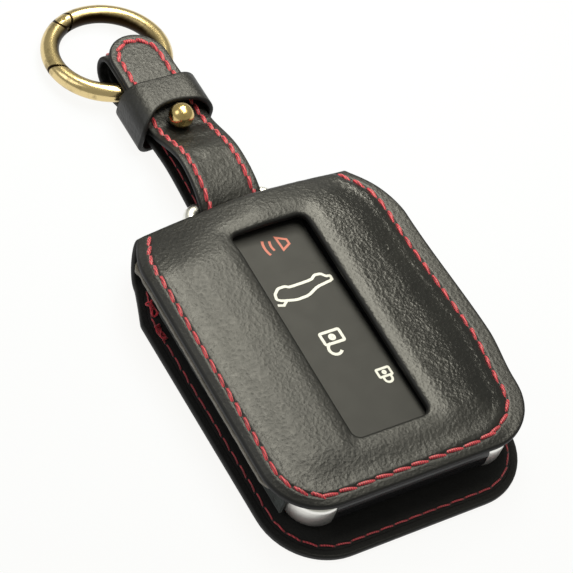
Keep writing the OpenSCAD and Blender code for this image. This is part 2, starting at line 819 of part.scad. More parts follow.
// Section of the keeper as x and height, drawn in by inset
function keeper_section(inset) =
    let (w = keeper_half - inset, low = keeper_low_r - inset, high = keeper_high_r - inset,
        top = keeper_top - inset)
    joined([
        arc_points([-w + low, inset + low], low, 180, 270, 6),
        [[0, inset]],
        arc_points([w - low, inset + low], low, 270, 360, 6),
        arc_points([w - high, top - high], high, 0, 90, 8),
        [for (k = [1:3]) [(w - high)*(1 - k/2), top]],
        after_first(arc_points([-w + high, top - high], high, 90, 180, 8))]);
// Its near edge gives way to the ball at the top and bows towards the cover at the sides
function keeper_near(x, z) =
    let (share = z > keeper_top/2 ? pow(abs(x)/keeper_half, 2) : 1)
    keeper_y - share*mix(left_bow, right_bow, (x/keeper_half + 1)/2);

module strap_keeper() {
    outer = keeper_section(0);
    inner = keeper_section(keeper_t);
    color("#232427")
    placed()
        translate([keeper_x, 0, 0])
            ring_skin([
                [for (p = outer) [p[0], keeper_near(p[0], p[1]), p[1]]],
                [for (p = outer) [p[0], keeper_y + keeper_w, p[1]]],
                [for (p = inner) [p[0], keeper_y + keeper_w, p[1]]],
                [for (p = inner) [p[0], keeper_near(p[0], p[1]), p[1]]]]);
}

// Ring: it leans from the table up into the strap's loop. Its gate ends on an arc round the hinge
wire_r = wire_d/2;
ring_r = (ring_d - wire_d)/2;
ring_lean = asin((ring_high - wire_r)/(2*ring_r));
ring_lean_at = -65;
ring_x = -3.6;
ring_near_len = 8.4;
ring_y = stud_y + ring_near_len + ring_d/2;
ring_z = (ring_high + wire_r)/2;
gate_seam = 0.15;
gate_over_turn = 14;
gate_root_turn = 16;
gate_reach = 2*ring_r*sin((gate_end - hinge_at)/2);
pin_r = 0.5;
knuckle_r = 1.75;
tongue_t = 1.2;
tongue_r = 1.3;
tongue_len = 2.6;

module ring_placed() {
    translate([ring_x, ring_y, ring_z])
        rotate([0, 0, ring_lean_at])
            rotate([0, -ring_lean, 0])
                rotate([0, 0, -ring_lean_at])
                    children();
}

module wire(from, to) {
    rotate([0, 0, from])
        rotate_extrude(angle = to - from)
            translate([ring_r, 0])
                circle(r = wire_r);
}

module at_hinge(r, h) {
    rotate([0, 0, hinge_at])
        translate([ring_r, 0, -h/2])
            cylinder(r = r, h = h);
}

// A block round the gate's free end
module end_block() {
    rotate([0, 0, gate_end - 2*gate_over_turn])
        rotate_extrude(angle = 4*gate_over_turn)
            translate([ring_r - wire_d, -wire_d])
                square(2*wire_d);
}

module ring_body() {
    color("#b08d45")
    placed()
        ring_placed()
            difference() {
                union() {
                    difference() {
                        wire(gate_end - gate_over_turn, 360 + hinge_at);
                        at_hinge(knuckle_r + slide_gap, wire_d + over);
                        intersection() {
                            at_hinge(gate_reach + gate_seam, wire_d + over);
                            end_block();
                        }
                    }
                    at_hinge(tongue_r, tongue_t);
                    rotate([0, 0, hinge_at])
                        translate([ring_r - tongue_r, -tongue_len, -tongue_t/2])
                            cube([2*tongue_r, tongue_len, tongue_t]);
                }
                at_hinge(pin_r + touch_gap/2, wire_d + over);
            }
}

module ring_gate() {
    color("#b6944c")
    placed()
        ring_placed()
            difference() {
                union() {
                    intersection() {
                        wire(hinge_at, gate_end + gate_over_turn);
                        at_hinge(gate_reach, wire_d + over);
                    }
                    intersection() {
                        wire(hinge_at - gate_root_turn, hinge_at + gate_root_turn);
                        at_hinge(knuckle_r, wire_d + over);
                    }
                }
                at_hinge(knuckle_r + slide_gap, tongue_t + 2*slide_gap);
                at_hinge(pin_r + touch_gap/2, wire_d + over);
                spring_hole(spring_r + touch_gap, touch_gap);
            }
}

module gate_pin() {
    color("#8f6f33")
    placed()
        ring_placed()
            at_hinge(pin_r, wire_d - body_gap);
}

// Return spring in the gate, behind the hinge
spring_r = 0.45;
spring_len = 2.2;

module spring_hole(r, room) {
    rotate([0, 0, hinge_at])
        translate([ring_r, 0, 0])
            rotate([-90, 0, spring_turn])
                translate([0, 0, knuckle_r + slide_gap - room])
                    cylinder(r = r, h = spring_len + 2*room);
}
spring_turn = 8;

module gate_spring() {
    color("#9a9b9c")
    placed()
        ring_placed()
            spring_hole(spring_r, 0);
}

// The origin is under the middle of the whole object
far_y = ring_y + ring_r*sqrt(1 - pow(sin(ring_lean)*sin(ring_lean_at), 2)) + wire_r;
mid_y = (far_y - back_drop)/2;

module placed() {
    translate([0, -mid_y, 0])
        children();
}

front_cover();
front_lining();
left_skirt();
right_skirt();
back_cover();
back_lining();
strap_outer();
strap_inner();
stud_ball();
stud_screw();
strap_keeper();
ring_body();
ring_gate();
gate_pin();
gate_spring();
fob_front_shell();
fob_back_shell();
left_rail();
right_rail();
fob_bail();
horn_button();
trunk_button();
unlock_button();
lock_button();
circuit_board();
coin_cell();
cell_clip();
button_switches();
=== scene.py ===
import math

import bmesh
import bpy
import numpy as np
from mathutils import Matrix, Vector, noise
from mathutils.geometry import delaunay_2d_cdt


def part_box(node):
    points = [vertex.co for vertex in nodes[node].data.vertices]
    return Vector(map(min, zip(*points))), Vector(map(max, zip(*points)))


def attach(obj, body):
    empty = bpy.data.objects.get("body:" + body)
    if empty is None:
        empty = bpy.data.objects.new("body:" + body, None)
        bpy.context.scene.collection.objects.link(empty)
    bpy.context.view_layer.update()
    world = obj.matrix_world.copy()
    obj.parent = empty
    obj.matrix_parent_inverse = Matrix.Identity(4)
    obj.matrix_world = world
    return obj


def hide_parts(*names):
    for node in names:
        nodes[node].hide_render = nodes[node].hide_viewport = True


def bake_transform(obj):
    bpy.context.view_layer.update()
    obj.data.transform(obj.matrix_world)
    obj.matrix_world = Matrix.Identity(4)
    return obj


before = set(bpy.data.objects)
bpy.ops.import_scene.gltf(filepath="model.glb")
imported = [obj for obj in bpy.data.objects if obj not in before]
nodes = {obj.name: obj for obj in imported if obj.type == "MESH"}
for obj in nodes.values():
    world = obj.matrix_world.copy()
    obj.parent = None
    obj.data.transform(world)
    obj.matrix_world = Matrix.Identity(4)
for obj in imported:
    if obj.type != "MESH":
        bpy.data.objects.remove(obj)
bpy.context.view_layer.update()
mm = 0.001

# Sizes are in millimetres on the cover's own scale: y is 0 at the front panel's lower edge
middleY = -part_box("front_cover")[0].y / mm

# What a viewer would change about the picture
picture = {
    "turn": -47.559,
    "height": 49.675,
    "roll": 22.469,
    "distance": 405.52,
    "focalPixels": 2308.397,
    "sidePixels": 573,
    "sensor": 36,
    "nearest": 10,
    "target": (0.048, 44.578, 6.0),
}


def smooth(t):
    t = np.clip(t, 0, 1)
    return t * t * (3 - 2 * t)


def mix(a, b, t):
    return a + (b - a) * t


def hump(values, middle, spread):
    return np.exp(-(((values - middle) / spread) ** 2))


def unit(rows):
    return rows / np.maximum(np.linalg.norm(rows, axis=1), 1e-12)[:, None]


def columns(*values):
    return np.stack(np.broadcast_arrays(*values), axis=1)


def toFrame(points):
    p = np.array(points, float).reshape(-1, 3)
    p[:, 1] -= middleY
    return p * mm


def addObject(name, data):
    obj = bpy.data.objects.new(name, data)
    bpy.context.scene.collection.objects.link(obj)
    return obj


def addMesh(name, points, faces, materials, slots=None, flat=False):
    mesh = bpy.data.meshes.new(name)
    mesh.from_pydata(toFrame(points).tolist(), [], [tuple(int(i) for i in f) for f in faces])
    for material in materials:
        mesh.materials.append(material)
    if slots is not None:
        mesh.polygons.foreach_set("material_index", np.array(slots, np.int32))
    mesh.update()
    if not flat:
        mesh.shade_smooth()
    return addObject(name, mesh)


# Four-sided faces between loops of n points that follow one another
def loopFaces(n, loops, start=0, closed=False):
    return [[start + j * n + i, start + j * n + (i + 1) % n,
             start + (j + 1) % loops * n + (i + 1) % n, start + (j + 1) % loops * n + i]
            for j in range(loops if closed else loops - 1) for i in range(n)]


# Gives a piece its place in the frame: what it stands for and its body
def fit(obj, slot, body, *replaced):
    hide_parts(*replaced)
    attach(obj, body)


def addCamera():
    turn, height, roll = (math.radians(picture[k]) for k in ("turn", "height", "roll"))
    back = Vector((math.sin(turn) * math.cos(height), -math.cos(turn) * math.cos(height), math.sin(height)))
    right = Vector((math.cos(turn), math.sin(turn), 0))
    up = back.cross(right)
    across = math.cos(roll) * right + math.sin(roll) * up
    upward = -math.sin(roll) * right + math.cos(roll) * up
    x, y, z = picture["target"]
    place = Vector((x, y - middleY, z)) * mm + back * picture["distance"] * mm
    data = bpy.data.cameras.new("camera")
    data.sensor_width = picture["sensor"]
    data.lens = picture["focalPixels"] / picture["sidePixels"] * data.sensor_width
    data.clip_start = picture["nearest"] * mm
    camera = addObject("camera", data)
    camera.matrix_world = Matrix.Translation(place) @ Matrix((across, upward, back)).transposed().to_4x4()
    bpy.context.scene.camera = camera


addCamera()
bpy.context.scene.view_settings.view_transform = "Standard"
print("camera set")

# Materials


def linear(code, alpha=1):
    channels = [int(code[i : i + 2], 16) / 255 for i in (1, 3, 5)]
    return [c / 12.92 if c <= 0.04045 else ((c + 0.055) / 1.055) ** 2.4 for c in channels] + [alpha]


# A value may be a node, which is linked by its first output, a socket, a setting of the node or a number
def addNode(tree, kind, values=None):
    node = tree.nodes.new(kind)
    for key, value in (values or {}).items():
        if isinstance(value, bpy.types.Node):
            value = value.outputs[0]
        if isinstance(value, bpy.types.NodeSocket):
            tree.links.new(value, node.inputs[key])
        elif isinstance(key, str) and hasattr(node, key):
            setattr(node, key, value)
        else:
            node.inputs[key].default_value = value
    return node


# Gives the material, its empty tree and the place on the object that its patterns are laid by
def newMaterial(name):
    material = bpy.data.materials.new(name)
    material.use_nodes = True
    tree = material.node_tree
    tree.nodes.clear()
    return material, tree, addNode(tree, "ShaderNodeTexCoord").outputs["Object"]


def shade(tree, values):
    shader = addNode(tree, "ShaderNodeBsdfPrincipled", values)
    addNode(tree, "ShaderNodeOutputMaterial", {"Surface": shader, "target": "ALL"})


def perMetre(millimetres):
    return 1 / (millimetres * mm)


# For a MapRange node that eases in and out between its two limits
eased = {"interpolation_type": "SMOOTHSTEP"}


# Aniline calf, dyed black and pressed: its grit greys the gloss all over, and the wrinkles that open on
# the right half catch the light in short strokes
hide = {
    "dark": "#0d0d0b",
    "light": "#23231f",
    "pebble": 0.62,
    "grit": 0.34,
    "wrinkle": 1.25,
    "leftLay": -22,
    "rightLay": 38,
    "stretch": 2.1,
    "bend": 4.5,
    "bendReach": 1.1,
    "patch": 14,
    "halves": 8,
    "depth": 0.15,
    "pebbleShare": 0.45,
    "wrinkleShare": 1.2,
    "gritShare": 0.32,
    "toneShare": 0.25,
    "roughLow": 0.3,
    "roughHigh": 0.47,
    "creasedShine": 0.6,
}


def wrinklesLaid(tree, place, angle):
    laid = addNode(tree, "ShaderNodeMapping", {
        "vector_type": "TEXTURE", "Vector": place, "Rotation": (0, 0, math.radians(angle)),
        "Scale": (hide["stretch"], 1, 1)})
    lines = addNode(tree, "ShaderNodeTexNoise", {
        "noise_type": "RIDGED_MULTIFRACTAL", "Vector": laid, "Scale": perMetre(hide["wrinkle"]),
        "Detail": 3, "Roughness": 0.6})
    return addNode(tree, "ShaderNodeMapRange", {**eased, 0: lines, 1: 0.35, 2: 1.25})


def makeHide(name, creased=1.0, calm=None, roughLow=hide["roughLow"]):
    material, tree, place = newMaterial(name)
    bent = addNode(tree, "ShaderNodeTexNoise", {
        "Vector": place, "Scale": perMetre(hide["bend"]), "Detail": 3})
    push = addNode(tree, "ShaderNodeVectorMath", {
        "operation": "MULTIPLY_ADD", 0: bent.outputs["Color"], 1: (hide["bendReach"] * mm,) * 3, 2: place})
    pebble = addNode(tree, "ShaderNodeTexVoronoi", {
        "feature": "SMOOTH_F1", "Vector": push, "Scale": perMetre(hide["pebble"])})
    patch = addNode(tree, "ShaderNodeTexNoise", {
        "Vector": place, "Scale": perMetre(hide["patch"]), "Detail": 2})
    if calm is None:
        # The wrap stores how creased each place is, and its two halves are creased along different lines
        across = addNode(tree, "ShaderNodeSeparateXYZ", {0: place})
        side = addNode(tree, "ShaderNodeMapRange", {
            **eased, 0: across, 1: -hide["halves"] * mm, 2: hide["halves"] * mm})
        left, right = (wrinklesLaid(tree, push, hide[k]) for k in ("leftLay", "rightLay"))
        ridge = addNode(tree, "ShaderNodeMix", {0: side, 2: left, 3: right})
        stored = addNode(tree, "ShaderNodeAttribute", {"attribute_name": "crease"}).outputs["Fac"]
        patchy = addNode(tree, "ShaderNodeMapRange", {
            **eased, 0: patch, 1: 0.3, 2: 0.65, 3: 0.6, 4: 1.0})
        amount = addNode(tree, "ShaderNodeMath", {"operation": "MULTIPLY", 0: stored, 1: patchy})
        # Creased hide is rubbed and shines more
        shine = addNode(tree, "ShaderNodeMapRange", {
            **eased, 0: stored, 1: 0.3, 2: 1.1, 3: 1.0, 4: hide["creasedShine"]})
    else:
        shine = 1.0
        ridge = wrinklesLaid(tree, push, 0)
        amount = addNode(tree, "ShaderNodeMapRange", {
            **eased, 0: patch, 1: 0.3, 2: 0.7, 3: calm, 4: 1.0})
    amount = addNode(tree, "ShaderNodeMath", {"operation": "MULTIPLY", 0: amount, 1: creased})
    wrinkles = addNode(tree, "ShaderNodeMath", {"operation": "MULTIPLY", 0: ridge, 1: amount})
    grit = addNode(tree, "ShaderNodeTexNoise", {
        "Vector": place, "Scale": perMetre(hide["grit"]), "Detail": 2})
    height = addNode(tree, "ShaderNodeMath", {"operation": "MULTIPLY", 0: grit, 1: hide["gritShare"]})
    for layer, share in ((wrinkles, "wrinkleShare"), (pebble, "pebbleShare")):
        height = addNode(tree, "ShaderNodeMath", {
            "operation": "MULTIPLY_ADD", 0: layer, 1: hide[share], 2: height})
    bump = addNode(tree, "ShaderNodeBump", {
        "Strength": 1.0, "Distance": hide["depth"] * mm, "Height": height})
    tone = addNode(tree, "ShaderNodeMath", {
        "operation": "MULTIPLY_ADD", 0: wrinkles, 1: hide["toneShare"], 2: patch})
    tone = addNode(tree, "ShaderNodeMapRange", {**eased, 0: tone, 1: 0.35, 2: 1.2})
    colour = addNode(tree, "ShaderNodeMix", {
        "data_type": "RGBA", 0: tone, 6: linear(hide["dark"]), 7: linear(hide["light"])})
    relief = addNode(tree, "ShaderNodeMath", {"operation": "ADD", 0: pebble, 1: wrinkles})
    rough = addNode(tree, "ShaderNodeMapRange", {
        **eased, 0: relief, 1: 0.1, 2: 1.4, 3: hide["roughHigh"], 4: roughLow})
    rough = addNode(tree, "ShaderNodeMath", {"operation": "MULTIPLY", 0: rough, 1: shine})
    shade(tree, {"IOR": 1.5, "Base Color": colour.outputs[2], "Roughness": rough, "Normal": bump})
    return material


pressedHide = makeHide("pressedCalf")
strapHide = makeHide("strapCalf", creased=0.9, calm=0.35, roughLow=0.26)
keeperHide = makeHide("keeperCalf", creased=0.15, calm=0.2, roughLow=0.34)


# Acrylic edge paint, rubbed smooth: black with a low shine
def makeEdgePaint():
    material, tree, place = newMaterial("edgePaint")
    lumps = addNode(tree, "ShaderNodeTexNoise", {"Vector": place, "Scale": perMetre(1.6), "Detail": 3})
    bump = addNode(tree, "ShaderNodeBump", {"Strength": 0.5, "Distance": 0.12 * mm, "Height": lumps})
    shade(tree, {"IOR": 1.4, "Base Color": linear("#0b0b0b"), "Roughness": 0.55, "Normal": bump})
    return material


# Suede, felt and frayed thread: short fibres that scatter the light and leave no gloss
def makeNap(name, dark, light, fibre=0.35, sheen=0.4):
    material, tree, place = newMaterial(name)
    hairs = addNode(tree, "ShaderNodeTexNoise", {
        "Vector": place, "Scale": perMetre(fibre), "Detail": 4, "Distortion": 1.2})
    clouds = addNode(tree, "ShaderNodeTexNoise", {"Vector": place, "Scale": perMetre(5), "Detail": 3})
    lifted = addNode(tree, "ShaderNodeMath", {"operation": "ADD", 0: clouds, 1: 0.5})
    tone = addNode(tree, "ShaderNodeMath", {"operation": "MULTIPLY", 0: hairs, 1: lifted})
    tone = addNode(tree, "ShaderNodeMapRange", {**eased, 0: tone, 1: 0.3, 2: 0.75})
    colour = addNode(tree, "ShaderNodeMix", {"data_type": "RGBA", 0: tone, 6: linear(dark), 7: linear(light)})
    bump = addNode(tree, "ShaderNodeBump", {"Strength": 0.9, "Distance": 0.15 * mm, "Height": hairs})
    shade(tree, {"Roughness": 0.95, "Sheen Weight": sheen, "Sheen Roughness": 0.5,
                 "Base Color": colour.outputs[2], "Normal": bump})
    return material


# Waxed polyester thread, madder red: its two plies are painted lighter and darker in turns, as painted
# highlight and shade
def makeThread():
    material, tree, place = newMaterial("waxedThread")
    plies = addNode(tree, "ShaderNodeTexWave", {"Vector": place, "Scale": perMetre(1.3), "Distortion": 1.5})
    plies = plies.outputs[1]
    wear = addNode(tree, "ShaderNodeTexNoise", {"Vector": place, "Scale": perMetre(2.5), "Detail": 3})
    # The plies' light and dark turns are painted highlight and shade, varied by random wear
    tone = addNode(tree, "ShaderNodeMath", {"operation": "MULTIPLY", 0: plies, 1: wear})
    tone = addNode(tree, "ShaderNodeMapRange", {**eased, 0: tone, 1: 0.08, 2: 0.4})
    colour = addNode(tree, "ShaderNodeMix", {
        "data_type": "RGBA", 0: tone, 6: linear("#7c1522"), 7: linear("#c43b46")})
    # Each pass of thread stores its run from hole to hole; its ends are painted dark where it goes down into
    # the hide, as painted shade in the holes
    along = addNode(tree, "ShaderNodeAttribute", {"attribute_name": "along"}).outputs["Fac"]
    off = addNode(tree, "ShaderNodeMath", {"operation": "SUBTRACT", 0: along, 1: 0.5})
    off = addNode(tree, "ShaderNodeMath", {"operation": "ABSOLUTE", 0: off})
    off = addNode(tree, "ShaderNodeMapRange", {**eased, 0: off, 1: 0.34, 2: 0.47})
    colour = addNode(tree, "ShaderNodeMix", {
        "data_type": "RGBA", 0: off, 6: colour.outputs[2], 7: linear("#1c0508")})
    bump = addNode(tree, "ShaderNodeBump", {"Strength": 0.18, "Distance": 0.12 * mm, "Height": plies})
    shade(tree, {"Roughness": 0.42, "IOR": 1.5, "Sheen Weight": 0.25,
                 "Base Color": colour.outputs[2], "Normal": bump})
    return material


edgePaint = makeEdgePaint()
innerSuede = makeNap("blackSuede", "#030303", "#0d0d0d", sheen=0.06)
paleFelt = makeNap("paleFelt", "#57534a", "#77726a", fibre=0.5, sheen=0.1)
greyFelt = makeNap("greyFelt", "#191c1b", "#323836", fibre=0.5, sheen=0.1)
thread = makeThread()
knotThread = makeNap("frayedThread", "#8c1220", "#d02a3c", fibre=0.4, sheen=0.3)
print("soft materials made")


def makeMetal(name, bright, dark, rough, worn, patchSize, wear, ring=None):
    material, tree, place = newMaterial(name)
    patch = addNode(tree, "ShaderNodeTexNoise", {
        "Vector": place, "Scale": perMetre(patchSize), "Detail": 4, "Roughness": 0.65})
    amount = addNode(tree, "ShaderNodeMapRange", {
        **eased, 0: patch, 1: wear[0], 2: wear[1]})
    if ring:
        # The inside of the wire is painted dark: painted shade where the wire's inner side lies in shadow
        gap = addNode(tree, "ShaderNodeVectorMath", {"operation": "DISTANCE", 0: place, 1: ring["centre"]})
        gap = addNode(tree, "ShaderNodeMath", {
            "operation": "MULTIPLY_ADD", 0: patch, 1: ring["waver"] * mm, 2: gap.outputs["Value"]})
        inside = addNode(tree, "ShaderNodeMapRange", {
            **eased, 0: gap, 1: ring["innerShadeFullAt"] * mm, 2: ring["innerShadeEndsAt"] * mm, 3: 1, 4: 0})
        amount = addNode(tree, "ShaderNodeMath", {"operation": "MULTIPLY", 0: amount, 1: ring["wearShare"]})
        amount = addNode(tree, "ShaderNodeMath", {"operation": "MAXIMUM", 0: inside, 1: amount})
        # Dirt stays in the seams about the hinge and at the gate's end, which lies on the hinge's left
        away = addNode(tree, "ShaderNodeVectorMath", {"operation": "SUBTRACT", 0: place, 1: ring["hinge"]})
        away = addNode(tree, "ShaderNodeVectorMath", {
            "operation": "CROSS_PRODUCT", 0: away, 1: ring["normal"]})
        away = addNode(tree, "ShaderNodeVectorMath", {"operation": "LENGTH", 0: away}).outputs["Value"]
        left = addNode(tree, "ShaderNodeSeparateXYZ", {0: place})
        left = addNode(tree, "ShaderNodeMapRange", {
            **eased, 0: left, 1: ring["hinge"].x - 2 * mm, 2: ring["hinge"].x, 3: 1, 4: 0})
        for radius, share in zip(ring["seams"], (1.0, left)):
            off = addNode(tree, "ShaderNodeMath", {"operation": "SUBTRACT", 0: away, 1: radius * mm})
            off = addNode(tree, "ShaderNodeMath", {"operation": "ABSOLUTE", 0: off})
            seam = addNode(tree, "ShaderNodeMapRange", {
                **eased, 0: off, 1: 0.16 * mm, 2: 0.42 * mm, 3: 1, 4: 0})
            seam = addNode(tree, "ShaderNodeMath", {"operation": "MULTIPLY", 0: seam, 1: share})
            amount = addNode(tree, "ShaderNodeMath", {"operation": "MAXIMUM", 0: amount, 1: seam})
    colour = addNode(tree, "ShaderNodeMix", {
        "data_type": "RGBA", 0: amount, 6: linear(bright), 7: linear(dark)})
    roughness = addNode(tree, "ShaderNodeMapRange", {**eased, 0: amount, 3: rough, 4: worn})
    marks = addNode(tree, "ShaderNodeTexNoise", {"Vector": place, "Scale": perMetre(0.35), "Detail": 3})
    bump = addNode(tree, "ShaderNodeBump", {"Strength": 0.12, "Distance": 0.05 * mm, "Height": marks})
    shade(tree, {"Metallic": 1.0, "Base Color": colour.outputs[2], "Roughness": roughness, "Normal": bump})
    return material


def ringWearAndShade():
    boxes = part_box("ring_body"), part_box("ring_gate")
    low = Vector([min(box[0][k] for box in boxes) for k in range(3)])
    high = Vector([max(box[1][k] for box in boxes) for k in range(3)])
    outer = (high.x - low.x) / 2 / mm
    points = np.array([v.co for v in nodes["ring_body"].data.vertices])
    turned = np.linalg.svd(points - points.mean(axis=0), full_matrices=False)[2]
    return {"centre": (low + high) / 2, "innerShadeFullAt": outer - 2.7, "innerShadeEndsAt": outer - 1.2, "waver": 1.2,
            "wearShare": 0.7, "hinge": sum(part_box("gate_pin"), Vector()) / 2, "normal": turned[2].tolist(),
            "seams": (1.75, 12.94)}


# Cast brass, tumbled and darkened: bright where hands rub it, brown in its seams, with painted shade on the
# inside of the wire
agedBrass = makeMetal("tumbledBrass", "#e2cb94", "#241809", 0.22, 0.42, 4.0, (0.5, 0.75), ringWearAndShade())
# Brass screw, turned and left to darken under the strap
screwBrass = makeMetal("agedScrewBrass", "#b59a66", "#3d2f17", 0.3, 0.5, 3.0, (0.46, 0.66))
# Turned brass: the ball is polished by the strap and stays bright
turnedBrass = makeMetal("turnedBrass", "#d8be80", "#a58a4c", 0.22, 0.3, 2.0, (0.5, 0.8))
# Plated zinc casting with a satin finish that gives broad soft highlights
platedZinc = makeMetal("satinPlatedZinc", "#f0efea", "#d4d3cd", 0.32, 0.4, 6.0, (0.45, 0.8))


def makePlastic(name, colour, rough, grain):
    material, tree, place = newMaterial(name)
    spots = addNode(tree, "ShaderNodeTexNoise", {"Vector": place, "Scale": perMetre(3.0), "Detail": 3})
    roughness = addNode(tree, "ShaderNodeMapRange", {
        **eased, 0: spots, 1: 0.3, 2: 0.75, 3: rough, 4: rough + 0.03})
    texture = addNode(tree, "ShaderNodeTexNoise", {"Vector": place, "Scale": perMetre(grain), "Detail": 2})
    bump = addNode(tree, "ShaderNodeBump", {"Strength": 0.25, "Distance": 0.02 * mm, "Height": texture})
    shade(tree, {"IOR": 1.5, "Base Color": linear(colour), "Roughness": roughness, "Normal": bump})
    return material


# Moulded ABS with a polished tool: a clear, slightly uneven gloss
mouldedShell = makePlastic("polishedAbs", "#141415", 0.22, 0.5)
# Fine spark-eroded texture on the keys, which greys their gloss
keyPlastic = makePlastic("sparkErodedAbs", "#0e0e0c", 0.58, 0.22)
# Pad-printed ink, thin and matt
whiteInk = makePlastic("whitePadPrint", "#cfcfca", 0.5, 0.4)
coralInk = makePlastic("coralPadPrint", "#b0604f", 0.5, 0.4)
# Solder mask over copper: green with an even shine
boardGreen = makePlastic("solderMask", "#1f5c35", 0.35, 0.5)
print("hard materials made")

# Sheets: laid out flat, placed in space, then given their thickness


def resample(points, step, closed=True):
    p = np.array(points, float)
    if closed:
        p = np.vstack([p, p[:1]])
    run = np.concatenate([[0], np.cumsum(np.linalg.norm(np.diff(p, axis=0), axis=1))])
    count = max(4, round(run[-1] / step))
    at = np.linspace(0, run[-1], count, endpoint=False) if closed else np.linspace(0, run[-1], count + 1)
    return np.stack([np.interp(at, run, p[:, i]) for i in range(p.shape[1])], axis=1)


def inwards(loop, reach=2):
    along = np.roll(loop, -reach, axis=0) - np.roll(loop, reach, axis=0)
    along = unit(along)
    return columns(-along[:, 1], along[:, 0])


def distanceTo(points, loop):
    a, b = loop, np.roll(loop, -1, axis=0)
    best = np.full(len(points), 1e9)
    for start, step in zip(a, b - a):
        t = np.clip(((points - start) @ step) / (step @ step), 0, 1)
        best = np.minimum(best, np.linalg.norm(points - start - t[:, None] * step, axis=1))
    return best


def isInside(points, loop):
    inside = np.zeros(len(points), bool)
    for (xa, ya), (xb, yb) in zip(loop, np.roll(loop, -1, axis=0)):
        if ya == yb:
            continue
        crosses = (ya > points[:, 1]) != (yb > points[:, 1])
        inside ^= crosses & (points[:, 0] < (xb - xa) * (points[:, 1] - ya) / (yb - ya) + xa)
    return inside


# The outline runs anticlockwise. Gives flat points, faces, rims and each point's depth from each rim
def layOut(outline, holes, spacing, rimSteps, holeSteps):
    loops, faces, rims, constraints, total = [], [], [], [], 0
    for loop, steps, side in [(outline, rimSteps, 1)] + [(hole, holeSteps, -1) for hole in holes]:
        across = inwards(loop) * side
        n = len(loop)
        rims.append(total + np.arange(n))
        for k, step in enumerate(steps):
            loops.append(loop + across * step)
            if k:
                low, high = total - n + np.arange(n), total + np.arange(n)
                after = np.roll(np.arange(n), -1)
                quad = columns(low, low[after], high[after], high)
                faces += (quad if side > 0 else quad[:, ::-1]).tolist()
            total += n
        constraints.append((total - n, loops[-1]))
    inner = [loop for _, loop in constraints]
    low, high = inner[0].min(0), inner[0].max(0)
    rows = np.arange(low[1], high[1], spacing * 0.866)
    grid = np.array([(x + (j % 2) * spacing / 2, y) for j, y in enumerate(rows)
                     for x in np.arange(low[0], high[0], spacing)])
    keep = isInside(grid, inner[0])
    for i, loop in enumerate(inner):
        if i:
            keep &= ~isInside(grid, loop)
    grid = grid[keep]
    for loop in inner:
        grid = grid[distanceTo(grid, loop) > spacing * 0.55]
    edges, flat, origin = [], [], []
    for start, loop in constraints:
        n, at = len(loop), len(flat)
        flat += loop.tolist()
        origin += list(range(start, start + n))
        edges += [(at + i, at + (i + 1) % n) for i in range(n)]
    flat += grid.tolist()
    origin += list(range(total, total + len(grid)))
    found = delaunay_2d_cdt([Vector(p) for p in flat], edges, [], 0, 1e-7)
    assert len(found[0]) == len(flat), "the layout's loops cross"
    triangles = np.array(found[2])
    corner = np.array([tuple(v) for v in found[0]])
    a, b, c = (corner[triangles[:, i]] for i in range(3))
    middle = corner[triangles].mean(axis=1)
    keep = isInside(middle, inner[0])
    for loop in inner[1:]:
        keep &= ~isInside(middle, loop)
    u, v = b - a, c - a
    turned = u[:, 0] * v[:, 1] - u[:, 1] * v[:, 0] < 0
    triangles[turned] = triangles[turned][:, ::-1]
    origin = np.array(origin)
    faces += origin[triangles[keep]].tolist()
    points = np.vstack(loops + [grid])
    depths = [distanceTo(points, loop) for loop in [outline] + list(holes)]
    return points, faces, rims, depths


def pointNormals(points, faces):
    normals = np.zeros_like(points)
    for size in (3, 4):
        f = np.array([face for face in faces if len(face) == size], int)
        if len(f):
            a, b = points[f[:, 2]] - points[f[:, 0]], points[f[:, -1]] - points[f[:, 1]]
            n = np.cross(a, b) if size == 4 else np.cross(points[f[:, 1]] - points[f[:, 0]], a)
            for i in range(size):
                np.add.at(normals, f[:, i], n)
    return unit(normals)


def roundFall(depth, r):
    return r - np.sqrt(np.maximum(0, r * r - np.maximum(0, r - depth) ** 2))


# The materials are for the outer face, the cut edge and the inner face
def thicken(name, top, bottom, faces, rims, depth, edgeDepth, materials):
    n = len(top)
    f = [list(face) for face in faces]
    slots = [1 if depth[face].mean() < edgeDepth else 0 for face in f]
    under = [[n + i for i in face][::-1] for face in f]
    underSlots = [1 if s == 1 else 2 for s in slots]
    walls = []
    for k, rim in enumerate(rims):
        after = np.roll(rim, -1)
        quad = columns(rim, n + rim, n + after, after)
        walls += (quad if k == 0 else quad[:, ::-1]).tolist()
    return addMesh(name, np.vstack([top, bottom]), f + under + walls, materials,
                   slots + underSlots + [1] * len(walls))


